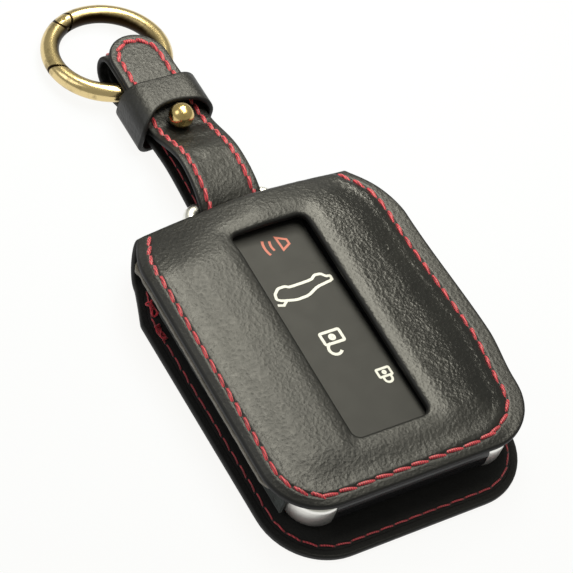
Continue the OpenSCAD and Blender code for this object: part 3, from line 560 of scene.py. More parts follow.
# The wrap's shape is the construction's, but for a fuller right edge: front panel, fold, end wall, back panel
wrap = {
    "width": 52,
    "front": 61.4,
    "cutLength": 12.6,
    "foldLeft": 21.8,
    "foldRight": 21.4,
    "dropLeft": 3.6,
    "dropRight": 0.95,
    "frontCorner": 10.2,
    "backCorner": 12,
    "backReach": 4.9,
    "edgeHeight": 10.7,
    "rise": 1.7,
    "flange": 3.4,
    "pillow": 0.7,
    "pillowRun": 6.6,
    "pillowNeckLoss": 0.9,
    "wallRun": 13.5,
    "footSetBack": 1.2,
    "footBow": 4.2,
    "footBowPower": 2.4,
    "lip": 2.4,
    "lipSideLoss": 0.35,
    "footPull": 3.2,
    "leather": 1.2,
    "edgeRound": 0.42,
    "stitchInset": 2.05,
    "rightStitchInset": 3.2,
    "rightWiden": 1.2,
    "widenFrom": 10.2,
    "widenRun": 11,
    "widenEaseFrom": 20,
    "widenEaseRun": 27,
    "widenLeft": 0.1,
    "rightFall": -0.2,
    "groove": 0.3,
    "wrinkleDepth": 0.05,
    "frontCutShare": -0.3,
    "backCutShare": 0.05,
    "rightCutShare": -0.2,
    "rollStart": 55.4,
    "roll": 0.026,
    "edgeFall": 0.34,
    "leftFall": 0.85,
    "leftFallAt": 17,
    "leftFallRun": 7,
    "rightFallAt": 16,
    "rightFallRun": 6,
    "fallReach": 2.1,
    "rightFallReach": 3.3,
    "fallNeckLoss": 0.6,
    "leftPower": 1.05,
    "rightPower": 1.6,
}
window = {"half": 7.7, "low": 10.0, "high": 54.6, "corner": 1.5, "dip": 0.35, "dipRun": 3.2, "turnDown": 0.22}
slotHole = {"half": 9.7, "low": 1.9, "high": 7.9, "corner": 1.2}
half, front, leather = wrap["width"] / 2, wrap["front"], wrap["leather"]
shoulder = front - wrap["cutLength"]
wallRun = wrap["wallRun"]
footY = front - wrap["footSetBack"]
backStart = front + wallRun
sheetEnd = backStart + footY + wrap["backReach"]


def foldEnd(side):
    return np.where(side < 0, wrap["foldLeft"], wrap["foldRight"])


def panelHalf(y, low, r, side, leftShare=wrap["frontCutShare"]):
    y = np.asarray(y, float)
    t = np.clip((y - shoulder) / wrap["cutLength"], 0, 1)
    share = t + np.where(side < 0, leftShare, wrap["rightCutShare"]) * np.sin(np.pi * t)
    corner = half - r + np.sqrt(np.maximum(0, r * r - (low + r - y) ** 2))
    # Only the front panel is fuller on its right
    eased = mix(1, wrap["widenLeft"], smooth((y - wrap["widenEaseFrom"]) / wrap["widenEaseRun"]))
    widen = wrap["rightWiden"] * (low >= 0) * smooth((y - wrap["widenFrom"]) / wrap["widenRun"]) * eased
    widest = half + np.where(side < 0, 0, widen)
    return np.where(y < low + r, corner, mix(widest, foldEnd(side), share))


def backHalf(y, side):
    return panelHalf(y, -wrap["backReach"], wrap["backCorner"], side, wrap["backCutShare"])


def frontHeight(x, y, depth):
    neck = smooth((y - shoulder) / wrap["cutLength"])
    share = np.minimum(1, np.abs(x) / panelHalf(y, 0, wrap["frontCorner"], x))
    share = share ** np.where(x < 0, wrap["leftPower"], wrap["rightPower"])
    pillow = smooth((depth - wrap["flange"]) / wrap["pillowRun"]) * (1 - wrap["pillowNeckLoss"] * neck)
    dip = 1
    for outside in (np.abs(x) - window["half"], y - window["high"], window["low"] - y):
        dip = dip * smooth(1 - outside / window["dipRun"])
    drop = np.where(x < 0, wrap["dropLeft"], wrap["dropRight"]) * neck * share
    roll = wrap["roll"] * np.maximum(0, y - wrap["rollStart"]) ** 2
    # The left edge is turned down by the fob's corner, and the right edge curls up a little
    atLeft = smooth((-x - wrap["leftFallAt"]) / wrap["leftFallRun"])
    atRight = smooth((x - wrap["rightFallAt"]) / wrap["rightFallRun"])
    fall = mix(mix(wrap["edgeFall"], wrap["leftFall"], atLeft), wrap["rightFall"], atRight)
    reach = mix(wrap["fallReach"], wrap["rightFallReach"], atRight)
    fall = fall * smooth(1 - depth / reach) * (1 - wrap["fallNeckLoss"] * neck)
    rise = wrap["edgeHeight"] + wrap["rise"] * y / front
    return rise - drop - roll - fall + wrap["pillow"] * pillow - window["dip"] * dip


def footBow(v):
    return wrap["footBow"] * np.abs(v) ** wrap["footBowPower"]


def footLine(v):
    return footY - footBow(v)


def wallHalf(s, side):
    foot = backHalf(footLine(np.ones_like(s)), side)
    return mix(foldEnd(side), foot, smooth((s - front) / wallRun))


def backY(v, s):
    run = s - backStart
    return footY - run - footBow(v) * np.clip(1 - run / wrap["backCorner"], 0, 1)


def sheetHalf(s, side):
    s = np.asarray(s, float)
    side = np.broadcast_to(side, s.shape)
    return np.where(s <= front, panelHalf(s, 0, wrap["frontCorner"], side),
                    np.where(s < backStart, wallHalf(s, side), backHalf(backY(np.ones_like(s), s), side)))


def wallPlace(v, s):
    end = foldEnd(v)
    z0 = frontHeight(v * end, np.full_like(s, front), (1 - np.abs(v)) * end)
    foot = footLine(v)
    t = np.clip((s - front) / wallRun, 0, 1)
    u = 1 - t
    lip = wrap["lip"] * (1 - wrap["lipSideLoss"] * v * v)
    slope = 2 * wrap["roll"] * (front - wrap["rollStart"])
    bezier = [u**3, 3 * u * u * t, 3 * u * t * t, t**3]
    ys = [front, front + lip, foot + wrap["footPull"], foot]
    y = sum(b * c for b, c in zip(bezier, ys))
    z = bezier[0] * z0 + bezier[1] * (z0 - slope * lip)
    x = mix(v * end, v * backHalf(foot, v), smooth((s - front) / wallRun))
    return columns(x, y, z)


def sheetPlace(flat, depth):
    x, s = flat[:, 0], flat[:, 1]
    v = np.clip(x / sheetHalf(s, x), -1, 1)
    onFront = columns(x, s, frontHeight(x, s, depth))
    by = backY(v, s)
    sx = np.where(s - backStart < wrap["backCorner"], v * backHalf(by, x), x)
    onBack = columns(sx, by, 0.0)
    wall = wallPlace(v, s)
    return np.where((s <= front)[:, None], onFront, np.where((s < backStart)[:, None], wall, onBack))


def cornerArc(x, y, r, start, end, steps=14):
    a = np.radians(np.linspace(start, end, steps))
    return columns(x + r * np.cos(a), y + r * np.sin(a))


def roundedBoxLoop(x0, x1, y0, y1, r):
    return np.vstack([cornerArc(x1 - r, y0 + r, r, 270, 360), cornerArc(x1 - r, y1 - r, r, 0, 90),
                      cornerArc(x0 + r, y1 - r, r, 90, 180), cornerArc(x0 + r, y0 + r, r, 180, 270)])


def sheetOutline():
    r, b = wrap["frontCorner"], wrap["backCorner"]
    right = cornerArc(half - r, r, r, 270, 360)
    rise = np.linspace(r + 1, sheetEnd - b - 1, 180)
    sides = [columns(side * sheetHalf(rise, side), rise) for side in (1, -1)]
    return np.vstack([right, sides[0], cornerArc(half - b, sheetEnd - b, b, 0, 90),
                      cornerArc(b - half, sheetEnd - b, b, 90, 180), sides[1][::-1],
                      cornerArc(r - half, r, r, 180, 270)])


def wallLength(height):
    s = np.linspace(front, backStart, 400)
    z = wallPlace(np.full_like(s, 1e-6), s)[:, 2]
    return np.interp(-height, -z, s)


def ridged(p, size, turn=0.0, stretch=1.0, seed=0.0):
    c, s = math.cos(turn), math.sin(turn)
    places = [Vector(((x * c + y * s) / size, (y * c - x * s) / (size * stretch), seed)) for x, y in p]
    return np.array([noise.ridged_multi_fractal(place, 0.9, 2.1, 4, 1.0, 2.0) for place in places])


def soft(p, size, seed=0.0):
    return np.array([noise.noise(Vector((x / size, y / size, seed))) for x, y in p])


def insetAt(flat):
    x, s = flat[:, 0], flat[:, 1]
    share = smooth((x - 12) / 8) * (1 - smooth((s - 48) / 10))
    return mix(wrap["stitchInset"], wrap["rightStitchInset"], share)


# Values on the outline's loops, taken at each point's own distance from the outline
def atInset(values, steps, insets):
    n = len(insets)
    rows = values[: len(steps) * n].reshape(len(steps), n, -1)
    after = np.clip(np.searchsorted(steps, insets), 1, len(steps) - 1)
    low, high = np.array(steps)[after - 1], np.array(steps)[after]
    at = np.arange(n)
    return mix(rows[after - 1, at], rows[after, at], ((insets - low) / (high - low))[:, None])


# The wrap's outer face: large wrinkles at a slant, small ones that crowd beside the seam, a soft swelling
# along the right seam, and stitches that lie in a groove. Turns are in radians
surface = {
    "largeSize": 5.0,
    "largeTurn": math.radians(35),
    "largeStretch": 1.9,
    "smallSize": 2.1,
    "smallTurn": 0.3,
    "smallStretch": 1.3,
    "smallShare": 0.35,
    "seamShare": 0.7,
    "meanRidge": 0.9,
    "besideSeam": 1.9,
    "besideReach": 1.8,
    "leastCreased": 0.2,
    "backShare": 0.4,
    "swelling": 0.2,
    "swellingAt": 1.4,
    "swellingReach": 0.8,
    "grooveReach": 0.3,
}


def makeWrap():
    outline = resample(sheetOutline(), 0.75)
    opening = resample(roundedBoxLoop(-window["half"], window["half"], window["low"], window["high"],
                                      window["corner"]), 0.6)
    slotLoop = resample(roundedBoxLoop(-slotHole["half"], slotHole["half"], wallLength(slotHole["high"]),
                                       wallLength(slotHole["low"]), slotHole["corner"]), 0.6)
    r = wrap["edgeRound"]
    rounding = [0, 0.06 * r, 0.25 * r, 0.55 * r, r]
    rimSteps = rounding + [0.8, 1.2, 1.55, 1.8, 1.93, 2.05, 2.17, 2.3, 2.55, 2.8, 2.95, 3.08, 3.2, 3.32, 3.5,
                           4.0]
    flat, faces, rims, depths = layOut(outline, [opening, slotLoop], 0.8, rimSteps, rounding + [0.7, 1.1])
    edge, hole, cut = depths
    depth = np.minimum(np.minimum(edge, hole), cut)
    base = sheetPlace(flat, edge)
    normal = pointNormals(base, faces)
    s = flat[:, 1]
    insets = insetAt(outline)
    inset = insetAt(flat)
    inset[: len(rimSteps) * len(outline)] = np.tile(insets, len(rimSteps))
    isFront, isBack = s < front, s > backStart
    least = surface["leastCreased"]
    creased = smooth((flat[:, 0] + 14) / 22) * (1 - least) + least
    nearSeam = hump(edge - inset, surface["besideSeam"], surface["besideReach"]) * isFront
    large = ridged(flat, surface["largeSize"], surface["largeTurn"], surface["largeStretch"])
    small = ridged(flat, surface["smallSize"], surface["smallTurn"], surface["smallStretch"], 7.0)
    wrinkles = (large - surface["meanRidge"]) * creased
    crowded = surface["smallShare"] + surface["seamShare"] * nearSeam
    wrinkles = wrinkles + crowded * (small - surface["meanRidge"])
    calm = smooth((edge - inset - 0.3) / 1.1) * smooth(hole / 1.5)
    groove = -wrap["groove"] * hump(edge - inset, 0, surface["grooveReach"]) * (isFront | isBack)
    bulge = surface["swelling"] * hump(edge - inset, surface["swellingAt"], surface["swellingReach"])
    bulge = bulge * smooth(flat[:, 0] / 10) * isFront
    turnDown = -window["turnDown"] * smooth(1 - hole / 1.0) ** 1.5
    height = wrap["wrinkleDepth"] * wrinkles * calm * np.where(isBack, surface["backShare"], 1)
    height = height + groove + bulge + turnDown
    height = np.where(isBack, np.minimum(height, 0), height)
    fall = roundFall(depth, r)
    top = base + normal * (height - fall)[:, None]
    bottom = base - normal * (leather - fall)[:, None] + normal * np.where(hole < 3, turnDown, 0)[:, None]
    # At the fold's hollow the inner face is kept from running back through the front panel
    drop = base[:, 2] - bottom[:, 2]
    hollow = (s > front) & (s < front + 6) & (drop > -0.01) & (drop < leather + 0.8)
    bottom[:, 1] = np.where(hollow, np.maximum(bottom[:, 1], front - 0.6), bottom[:, 1])
    obj = thicken("coverWrap", top, bottom, faces, rims, depth, r, [pressedHide, edgePaint, innerSuede])
    folded = smooth((s - 54) / 8)
    right = smooth((flat[:, 0] - 2) / 14) * smooth((s - 3) / 9)
    crease = (0.22 + 0.9 * right + 0.35 * nearSeam) * (0.12 + 0.88 * smooth((edge - inset - 0.1) / 0.8))
    crease = crease * np.where(isBack, 0.5, 1 - 0.75 * folded)
    stored = obj.data.attributes.new("crease", "FLOAT", "POINT")
    stored.data.foreach_set("value", np.tile(crease, 2).astype(np.float32))
    seam = {key: atInset(values, rimSteps, insets)
            for key, values in (("flat", flat), ("place", top), ("normal", normal))}
    return obj, seam


coverWrap, wrapSeam = makeWrap()
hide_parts("front_cover", "back_cover")
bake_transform(coverWrap)
print("wrap made", len(coverWrap.data.polygons))

# Linings
lining = {
    "low": 4.6,
    "high": 58.6,
    "inset": 0.0,
    "thick": 0.6,
    "windowGrow": 1.2,
    "frayed": 0.04,
    "rawEdge": 0.45,
    "corner": 5.6,
    "gap": 0.06,
    "backInset": 1.35,
    "backStitch": 0.7,
    "backLow": 1.2,
    "backHigh": 1.79,
}
skirtSheet = {
    "low": 5.8,
    "foot": 2.8,
    "x": 22.38,
    "thick": 0.54,
    "underRoof": 2.0,
    "roofAt": 22.35,
    "wave": 0.05,
}


def sideOutline(low, high, r, inset, step, leftShare=wrap["frontCutShare"], headRound=3.6):
    y = np.linspace(low + r + 1, high - headRound, 60)
    right = columns(panelHalf(y, low, r, 1, leftShare) - inset, y)
    left = columns(-panelHalf(y, low, r, -1, leftShare) + inset, y)[::-1]
    headY = high - headRound
    loop = np.vstack([cornerArc(half - inset - r, low + r, r, 270, 360), right,
                      cornerArc(right[-1, 0] - headRound, headY, headRound, 0, 90),
                      cornerArc(left[0, 0] + headRound, headY, headRound, 90, 180), left,
                      cornerArc(r + inset - half, low + r, r, 180, 270)])
    return resample(loop, step)


def frayed(loop, amount, seed):
    fray = soft(loop, 0.9, seed) + 0.6 * soft(loop, 0.35, seed + 5)
    return loop + inwards(loop, 1) * (amount * fray)[:, None]


def makeFrontLining():
    outline = sideOutline(lining["low"], lining["high"], lining["corner"], lining["inset"], 0.5)
    outline = frayed(outline, lining["frayed"], 3.0)
    grow = lining["windowGrow"]
    opening = resample(roundedBoxLoop(-window["half"] - grow, window["half"] + grow, window["low"] - grow,
                                      window["high"] + grow, window["corner"]), 0.9)
    flat, faces, rims, depths = layOut(outline, [opening], 1.2, [0, 0.15, 0.4, 1.0], [0, 0.4])
    edge = distanceTo(flat, resample(sheetOutline(), 1.5))
    base = columns(flat[:, 0], flat[:, 1], frontHeight(flat[:, 0], flat[:, 1], edge))
    normal = pointNormals(base, faces)
    nap = 0.03 * soft(flat, 0.7, 2.0)
    top = base - normal * (leather + lining["gap"])
    rawEdge = lining["rawEdge"] * smooth(1 - edge / 1.3)
    bottom = top - normal * (lining["thick"] + rawEdge + nap)[:, None]
    return thicken("frontLining", top, bottom, faces, rims, np.minimum(*depths), 0, [paleFelt] * 3)


def makeSkirt(name, side):
    y = np.linspace(skirtSheet["low"], shoulder, 60)
    x = np.full_like(y, skirtSheet["roofAt"])
    roof = frontHeight(x, y, half - x) - skirtSheet["underRoof"]
    loop = np.vstack([columns(y, skirtSheet["foot"]), columns(y, roof)[::-1]])
    outline = frayed(resample(loop, 0.6), 0.1, 9.0 + side)
    flat, faces, rims, depths = layOut(outline, [], 1.1, [0, 0.2, 0.6], [])
    wave = skirtSheet["wave"] * soft(flat, 2.5, 4.0)
    near = columns(side * skirtSheet["x"], flat[:, 0], flat[:, 1])
    far = near + columns(side * (skirtSheet["thick"] + wave), 0.0, 0.0)
    top, bottom = (far, near) if side > 0 else (near, far)
    return thicken(name, top, bottom, faces, rims, depths[0], 0, [greyFelt] * 3)


def makeBackLining():
    inset = lining["backInset"]
    outline = sideOutline(inset - wrap["backReach"], front - 6, wrap["backCorner"] - inset, inset, 0.7,
                          wrap["backCutShare"])
    outline = frayed(outline, 0.06, 21.0)
    steps = [0, 0.1, 0.25, 0.4, 0.55, lining["backStitch"], 0.85, 1.1, 1.6, 2.4]
    flat, faces, rims, depths = layOut(outline, [], 1.2, steps, [])
    depth = depths[0]
    groove = 0.16 * hump(depth, lining["backStitch"], 0.3)
    nap = 0.02 * soft(flat, 0.8, 6.0)
    thin = 0.54 * smooth(1 - depth / 1.1)
    top = columns(flat[:, 0], flat[:, 1], lining["backHigh"] - groove - thin - roundFall(depth, 0.15) + nap)
    bottom = columns(flat[:, 0], flat[:, 1], lining["backLow"])
    obj = thicken("backLining", top, bottom, faces, rims, depth, 0, [innerSuede] * 3)
    n = len(outline)
    k = steps.index(lining["backStitch"]) * n
    seam = {"flat": flat[k : k + n], "place": top[k : k + n], "normal": np.tile([0.0, 0, 1], (n, 1))}
    return obj, seam


fit(makeFrontLining(), "front_lining", "front", "front_lining")
for name, side, node in (("leftSkirt", -1, "left_skirt"), ("rightSkirt", 1, "right_skirt")):
    fit(makeSkirt(name, side), "skirt", "front", node)
backLining, liningSeam = makeBackLining()
fit(backLining, "suede", "fob", "back_lining")
print("linings made")

# Strap: one band from its tip over the bail, back under, round the ring and to the stud
strap = {
    "width": 12.8,
    "tipWidth": 11.6,
    "ply": 0.5,
    "bailY": 66.0,
    "bailZ": 4.2004,
    "bailRadius": 1.3,
    "length": 39.2,
    "studAt": 19.2,
    "archHeight": 8.75,
    "archAt": 7.8,
    "twistReach": 11.4,
    "tipShift": 1.1,
    "twist": 5,
    "stitchInset": 1.7,
    "edgeRound": 0.36,
    "creaseDepth": 0.2,
}
wireRadius, tableGap, gap = 1.75, 0.15, 0.05
ply = strap["ply"]
studY, tipY = strap["bailY"] + strap["studAt"], strap["bailY"] + strap["length"]
ridgeLength, loopLow = 11.8, tableGap + ply
ringHigh = tableGap + 2 * ply + 1.3 + wireRadius
loopHigh = ringHigh + wireRadius + 0.1 + ply
loopRadius, loopY, ridgeY = (loopHigh - loopLow) / 2, studY + 15.5, studY + ridgeLength
ridgeZ = loopHigh + 2 * ply + gap
stackLow, stackMid, stackHigh = 3.0, 3.0 + 2 * ply + gap, 3.0 + 4 * ply + 3 * gap
ballRadius = 1.95
keeperY = studY + ballRadius + 0.15
keeper = {
    "wide": 5.9,
    "thick": 1.0,
    "x": -0.4,
    "sideGap": 0.6,
    "roofGap": 0.1,
    "highCorner": 3.9,
    "lowCorner": 2.8,
    "leftBow": 3.6,
    "rightBow": 2.2,
    "round": 0.42,
}
keeperLow = keeper["thick"] + tableGap + ply


def bezierRun(p, steps=24):
    t = np.linspace(0, 1, steps + 1)[:, None]
    a, b, c, d = (np.array(q, float) for q in p)
    return (1 - t) ** 3 * a + 3 * (1 - t) ** 2 * t * b + 3 * (1 - t) * t * t * c + t**3 * d


def levelBend(p, q, pullP, pullQ):
    s = math.copysign(1, q[0] - p[0])
    return bezierRun([p, (p[0] + s * pullP, p[1]), (q[0] - s * pullQ, q[1]), q])


def strapRun():
    wrapRadius = strap["bailRadius"] + 0.1 + ply
    bail = (strap["bailY"], strap["bailZ"])

    def wrapPoint(degrees):
        a = math.radians(degrees)
        return (bail[0] + wrapRadius * math.cos(a), bail[1] + wrapRadius * math.sin(a))

    archY, archMid = bail[0] + strap["archAt"], strap["archHeight"] - ply
    start, end = 122, 278
    leave = (2 * math.cos(math.radians(32)), 2 * math.sin(math.radians(32)))
    low = (3 * math.cos(math.radians(8)), 3 * math.sin(math.radians(8)))
    a, b = wrapPoint(start), wrapPoint(end)
    sag, keeperEnd = (bail[0] + 11.5, 3.5), keeperY + keeper["wide"]
    pieces = [
        np.array([(tipY, ridgeZ), (ridgeY, ridgeZ)]),
        levelBend((ridgeY, ridgeZ), (studY, stackHigh), 5.4, 3.4),
        levelBend((studY, stackHigh), (archY, archMid), 3.4, 4),
        bezierRun([(archY, archMid), (archY - 4, archMid), (a[0] + leave[0], a[1] + leave[1]), a]),
        cornerArc(*bail, wrapRadius, start, end, 24),
        bezierRun([b, (b[0] + low[0], b[1] + low[1]), (sag[0] - 3, sag[1]), sag]),
        levelBend(sag, (studY, stackLow), 3, 1.5),
        levelBend((studY + 1.9, stackLow), (studY + 5.8, keeperLow), 1.5, 1.5),
        levelBend((keeperEnd, keeperLow), (loopY - loopRadius, loopLow), 1.5, 1.5),
        cornerArc(loopY, loopLow + loopRadius, loopRadius, 270, 450, 24),
        levelBend((loopY, loopHigh), (ridgeY + 0.5, loopHigh), 2.7, 2.7),
        levelBend((ridgeY + 0.5, loopHigh), (studY + 0.5, stackMid), 5.4, 3.4),
        np.array([(studY, stackMid), (studY - 1.9, stackMid + 0.2)]),
    ]
    run = np.vstack(pieces)
    apart = np.concatenate([[True], np.linalg.norm(np.diff(run, axis=0), axis=1) > 0.02])
    return resample(run[apart], 0.3, closed=False)


def makeStrap():
    run = strapRun()
    step = np.linalg.norm(np.diff(run, axis=0), axis=1)
    along = np.concatenate([[0], np.cumsum(step)])
    tangent = np.gradient(run, along, axis=0)
    tangent = unit(tangent)
    whole = along[-1]
    upperEnd = along[np.argmin(run[: len(run) // 2, 0])]

    def at(s, values):
        return np.interp(s, along, values)

    def halfAt(s):
        return mix(strap["width"], strap["tipWidth"], smooth((at(s, run[:, 0]) - studY) / ridgeLength)) / 2

    def shiftAt(s):
        return -strap["tipShift"] * smooth((at(s, run[:, 0]) - studY) / ridgeLength)

    tipRadius = strap["tipWidth"] / 2
    endRound = 3
    s = np.linspace(tipRadius + 0.5, whole - endRound, 400)
    right = columns(shiftAt(s) + halfAt(s), -s)
    left = columns(shiftAt(s) - halfAt(s), -s)
    tip = cornerArc(-strap["tipShift"], -tipRadius, tipRadius, 0, 180, 24)
    foot = [cornerArc(left[-1, 0] + endRound, endRound - whole, endRound, 180, 270),
            cornerArc(right[-1, 0] - endRound, endRound - whole, endRound, 270, 360)]
    outline = resample(np.vstack([right[::-1], tip, left] + foot), 0.6)
    r, inset = strap["edgeRound"], strap["stitchInset"]
    steps = [0, 0.06 * r, 0.25 * r, 0.55 * r, r, 0.8, 1.2, 1.45, inset, 1.95, 2.2, 2.7]
    flat, faces, rims, depths = layOut(outline, [], 0.7, steps, [])
    depth, s = depths[0], np.clip(-flat[:, 1], 0, whole)
    y, z = at(s, run[:, 0]), at(s, run[:, 1])
    ty, tz = at(s, tangent[:, 0]), at(s, tangent[:, 1])
    fromArch = np.abs(y - strap["bailY"] - strap["archAt"])
    twist = np.where(s < upperEnd, strap["twist"], 0) * smooth(1 - fromArch / strap["twistReach"])
    lift = -(flat[:, 0] - shiftAt(s)) * np.sin(np.radians(twist))
    middle = columns(flat[:, 0], y, z + lift)
    up = columns(0.0, tz, -ty)
    inArch = smooth((s - 14) / 5) * smooth((upperEnd - 4 - s) / 5)
    creases = ridged(columns(flat[:, 0] * 0.25, s), 2.6, 0.12, 1.0, 12.0)
    dent = -strap["creaseDepth"] * np.clip(creases - 0.8, 0, 1) * inArch * smooth((depth - 1.7) / 1.5)
    groove = -0.2 * hump(depth, inset, 0.26)
    fall = roundFall(depth, r)
    top = middle + up * (ply - fall + dent + groove)[:, None]
    bottom = middle - up * (ply - fall + groove)[:, None]
    obj = thicken("strapBand", top, bottom, faces, rims, depth, r, [strapHide, edgePaint, strapHide])
    n = len(outline)
    k = steps.index(inset) * n
    run = {"s": s[k : k + n], "top": top[k : k + n], "bottom": bottom[k : k + n], "normal": up[k : k + n]}
    return obj, run


strapBand, strapSeam = makeStrap()
fit(strapBand, "hide", "strap", "strap_outer", "strap_inner")


def keeperSection(inset):
    w = strap["width"] / 2 + keeper["sideGap"] + keeper["thick"] - inset
    low, high = keeper["lowCorner"] - inset, keeper["highCorner"] - inset
    roof = ridgeZ + ply + keeper["roofGap"] + keeper["thick"] - inset
    corners = [cornerArc(-w + low, inset + low, low, 180, 270, 10),
               cornerArc(w - low, inset + low, low, 270, 360, 10),
               cornerArc(w - high, roof - high, high, 0, 90, 12),
               cornerArc(-w + high, roof - high, high, 90, 180, 12)]
    sides = []
    for a, b in zip(corners, corners[1:] + corners[:1]):
        sides += [a, a[-1] + (b[0] - a[-1]) * np.linspace(0, 1, 10)[1:-1, None]]
    return np.vstack(sides)


def makeKeeper():
    outer, inner = keeperSection(0), keeperSection(keeper["thick"])
    wide, roof = outer[:, 0].max(), outer[:, 1].max()
    share = np.where(outer[:, 1] > roof / 2, (outer[:, 0] / wide) ** 2, 1)
    near = keeperY - share * mix(keeper["leftBow"], keeper["rightBow"], (outer[:, 0] / wide + 1) / 2)
    far = np.full_like(near, keeperY + keeper["wide"])
    r = keeper["round"]
    a = np.radians(np.linspace(0, 90, 5))
    turn = [(r - r * math.sin(t), r - r * math.cos(t)) for t in a]
    profile = [(0, y, d) for y, d in turn[::-1]] + [(1, y, d) for y, d in turn]
    profile += [(1, y, 1 - d) for y, d in turn[::-1]] + [(0, y, 1 - d) for y, d in turn]
    loops = []
    for end, y, d in profile:
        place = mix(near + y, far - y, end)
        section = outer + (inner - outer) * (d / keeper["thick"])
        loops.append(columns(section[:, 0] + keeper["x"], place, section[:, 1]))
    faces = [face[::-1] for face in loopFaces(len(outer), len(profile), closed=True)]
    # The two flat stretches of the profile are hide, and its rounded rims are painted
    slots = [0 if k // len(outer) in (4, 14) else 1 for k in range(len(faces))]
    return addMesh("keeperLoop", np.vstack(loops), faces, [keeperHide, edgePaint], slots)


# Stud: a ball larger than the construction's, turned in one with its neck
stud = {"ball": 2.38, "x": -0.4, "y": -0.85, "z": 8.05, "neck": 0.9, "turns": 48}


def makeStud():
    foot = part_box("stud_ball")[0].z / mm
    join = math.degrees(math.asin(stud["neck"] / stud["ball"]))
    arc = cornerArc(0, stud["z"], stud["ball"], join - 90, 90, 20)
    profile = np.vstack([[(0, foot), (stud["neck"], foot)], arc[:-1], [(0, stud["z"] + stud["ball"])]])
    turns = stud["turns"]
    a = np.radians(np.arange(turns) * 360 / turns)
    x, y = stud["x"], studY + stud["y"]
    rows = [columns(x + r * np.cos(a), y + r * np.sin(a), z) for r, z in profile[1:-1]]
    ends = [(x, y, profile[0, 1]), (x, y, profile[-1, 1])]
    last = len(rows) * turns
    faces = loopFaces(turns, len(rows))
    for i in range(turns):
        k = (i + 1) % turns
        faces += [[last, k, i], [last + 1, last - turns + i, last - turns + k]]
    return addMesh("studBall", np.vstack(rows + [ends]), faces, [turnedBrass])


fit(makeStud(), "brass", "strap", "stud_ball")
fit(makeKeeper(), "hide", "keeper", "strap_keeper")
print("strap and keeper made")

# The ring and the other parts with true circles or hidden shapes keep the construction's solids
for name, material in (("ring_body", agedBrass), ("ring_gate", agedBrass), ("gate_pin", turnedBrass),
                       ("gate_spring", platedZinc), ("stud_screw", screwBrass), ("fob_bail", platedZinc),
                       ("circuit_board", boardGreen), ("coin_cell", platedZinc), ("cell_clip", turnedBrass),
                       ("button_switches", platedZinc), ("fob_front_shell", mouldedShell),
                       ("fob_back_shell", mouldedShell)):
    nodes[name].data.materials.clear()
    nodes[name].data.materials.append(material)

# Fob: rails that turn round its lower corners, and keys with softened edges
fob = {
    "keySpread": 0.055,
    "coreHalf": 18.8,
    "low": 0.7,
    "railEnd": 54.9999,
    "railWide": 3.2,
    "railHigh": 5.2,
    "railEdge": 1.0,
    "railZ": 2.66,
    "turn": 4.6,
    "sink": 0.62,
    "turnEnd": 15.6,
    "keyEdge": 0.015,
    "keySide": 0.75,
    "keyHigh": 1.2,
}


def railPath():
    a = np.radians(np.linspace(0, 90, 22))
    middle = fob["low"] + fob["turn"]
    straight = columns(fob["coreHalf"], np.linspace(fob["railEnd"], middle, 17)[:-1])
    x = fob["coreHalf"] - (fob["coreHalf"] - fob["turnEnd"]) * (1 - np.cos(a))
    return np.vstack([straight, columns(x, middle - fob["turn"] * fob["sink"] * np.sin(a))])


def makeRail(name, side):
    path = railPath()
    d = unit(np.gradient(path, axis=0))
    out = columns(-d[:, 1], d[:, 0])
    thin = np.interp(np.arange(len(path)), [16, len(path) - 1], [1, 0.5])
    w, h, e = fob["railWide"], fob["railHigh"], fob["railEdge"]
    section = np.vstack([[(0, 0), ((w - e) / 2, 0)], cornerArc(w - e, e, e, 270, 360, 7),
                         [(w, h / 2)], cornerArc(w - e, h - e, e, 0, 90, 7), [((w - e) / 2, h), (0, h)]])
    rows = [columns(side * (p[0] + o[0] * section[:, 0] * t), p[1] + o[1] * section[:, 0] * t,
                    fob["railZ"] + section[:, 1]) for p, o, t in zip(path, out, thin)]
    n, m = len(section), len(rows)
    faces = loopFaces(n, m)
    faces += [list(range(n))[::-1], [(m - 1) * n + i for i in range(n)]]
    if side < 0:
        faces = [f[::-1] for f in faces]
    return addMesh(name, np.vstack(rows), faces, [platedZinc])


for name, side, node in (("leftRail", -1, "left_rail"), ("rightRail", 1, "right_rail")):
    fit(makeRail(name, side), "rail", "fob", node)


def roundedBlock(name, low, high, edge, material):
    shape = bmesh.new()
    bmesh.ops.create_cube(shape, size=1)
    low, high = Vector(low), Vector(high)
    for v in shape.verts:
        v.co = [mix(low[i], high[i], v.co[i] + 0.5) for i in range(3)]
    bmesh.ops.bevel(shape, geom=shape.edges[:], offset=edge * mm, segments=2, profile=0.5, affect="EDGES")
    mesh = bpy.data.meshes.new(name)
    shape.to_mesh(mesh)
    shape.free()
    mesh.materials.append(material)
    return addObject(name, mesh)


keys = {}
for kind in ("horn", "trunk", "unlock", "lock"):
    low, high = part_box(kind + "_button")
    inset = Vector((fob["keySide"] * mm, -fob["keySpread"] * mm, 0))
    low, high = low + inset, high - inset
    low.z = high.z - fob["keyHigh"] * mm
    key = roundedBlock(kind + "Key", low, high, fob["keyEdge"], keyPlastic)
    fit(key, "button", kind, kind + "_button")
    keys[kind] = high.z / mm
print("fob made")

# Pictograms on the keys, as lines of printed ink. Each is drawn in millimetres from its own centre
icon = {
    "line": 0.54,
    "raise": 0.012,
    "layer": 0.004,
    "leastMitre": 0.45,
    "horn": (2.21, 51.23),
    "trunk": (0.83, 41.52),
    "unlock": (0.23, 30.49),
    "lock": (5.25, 20.86),
}


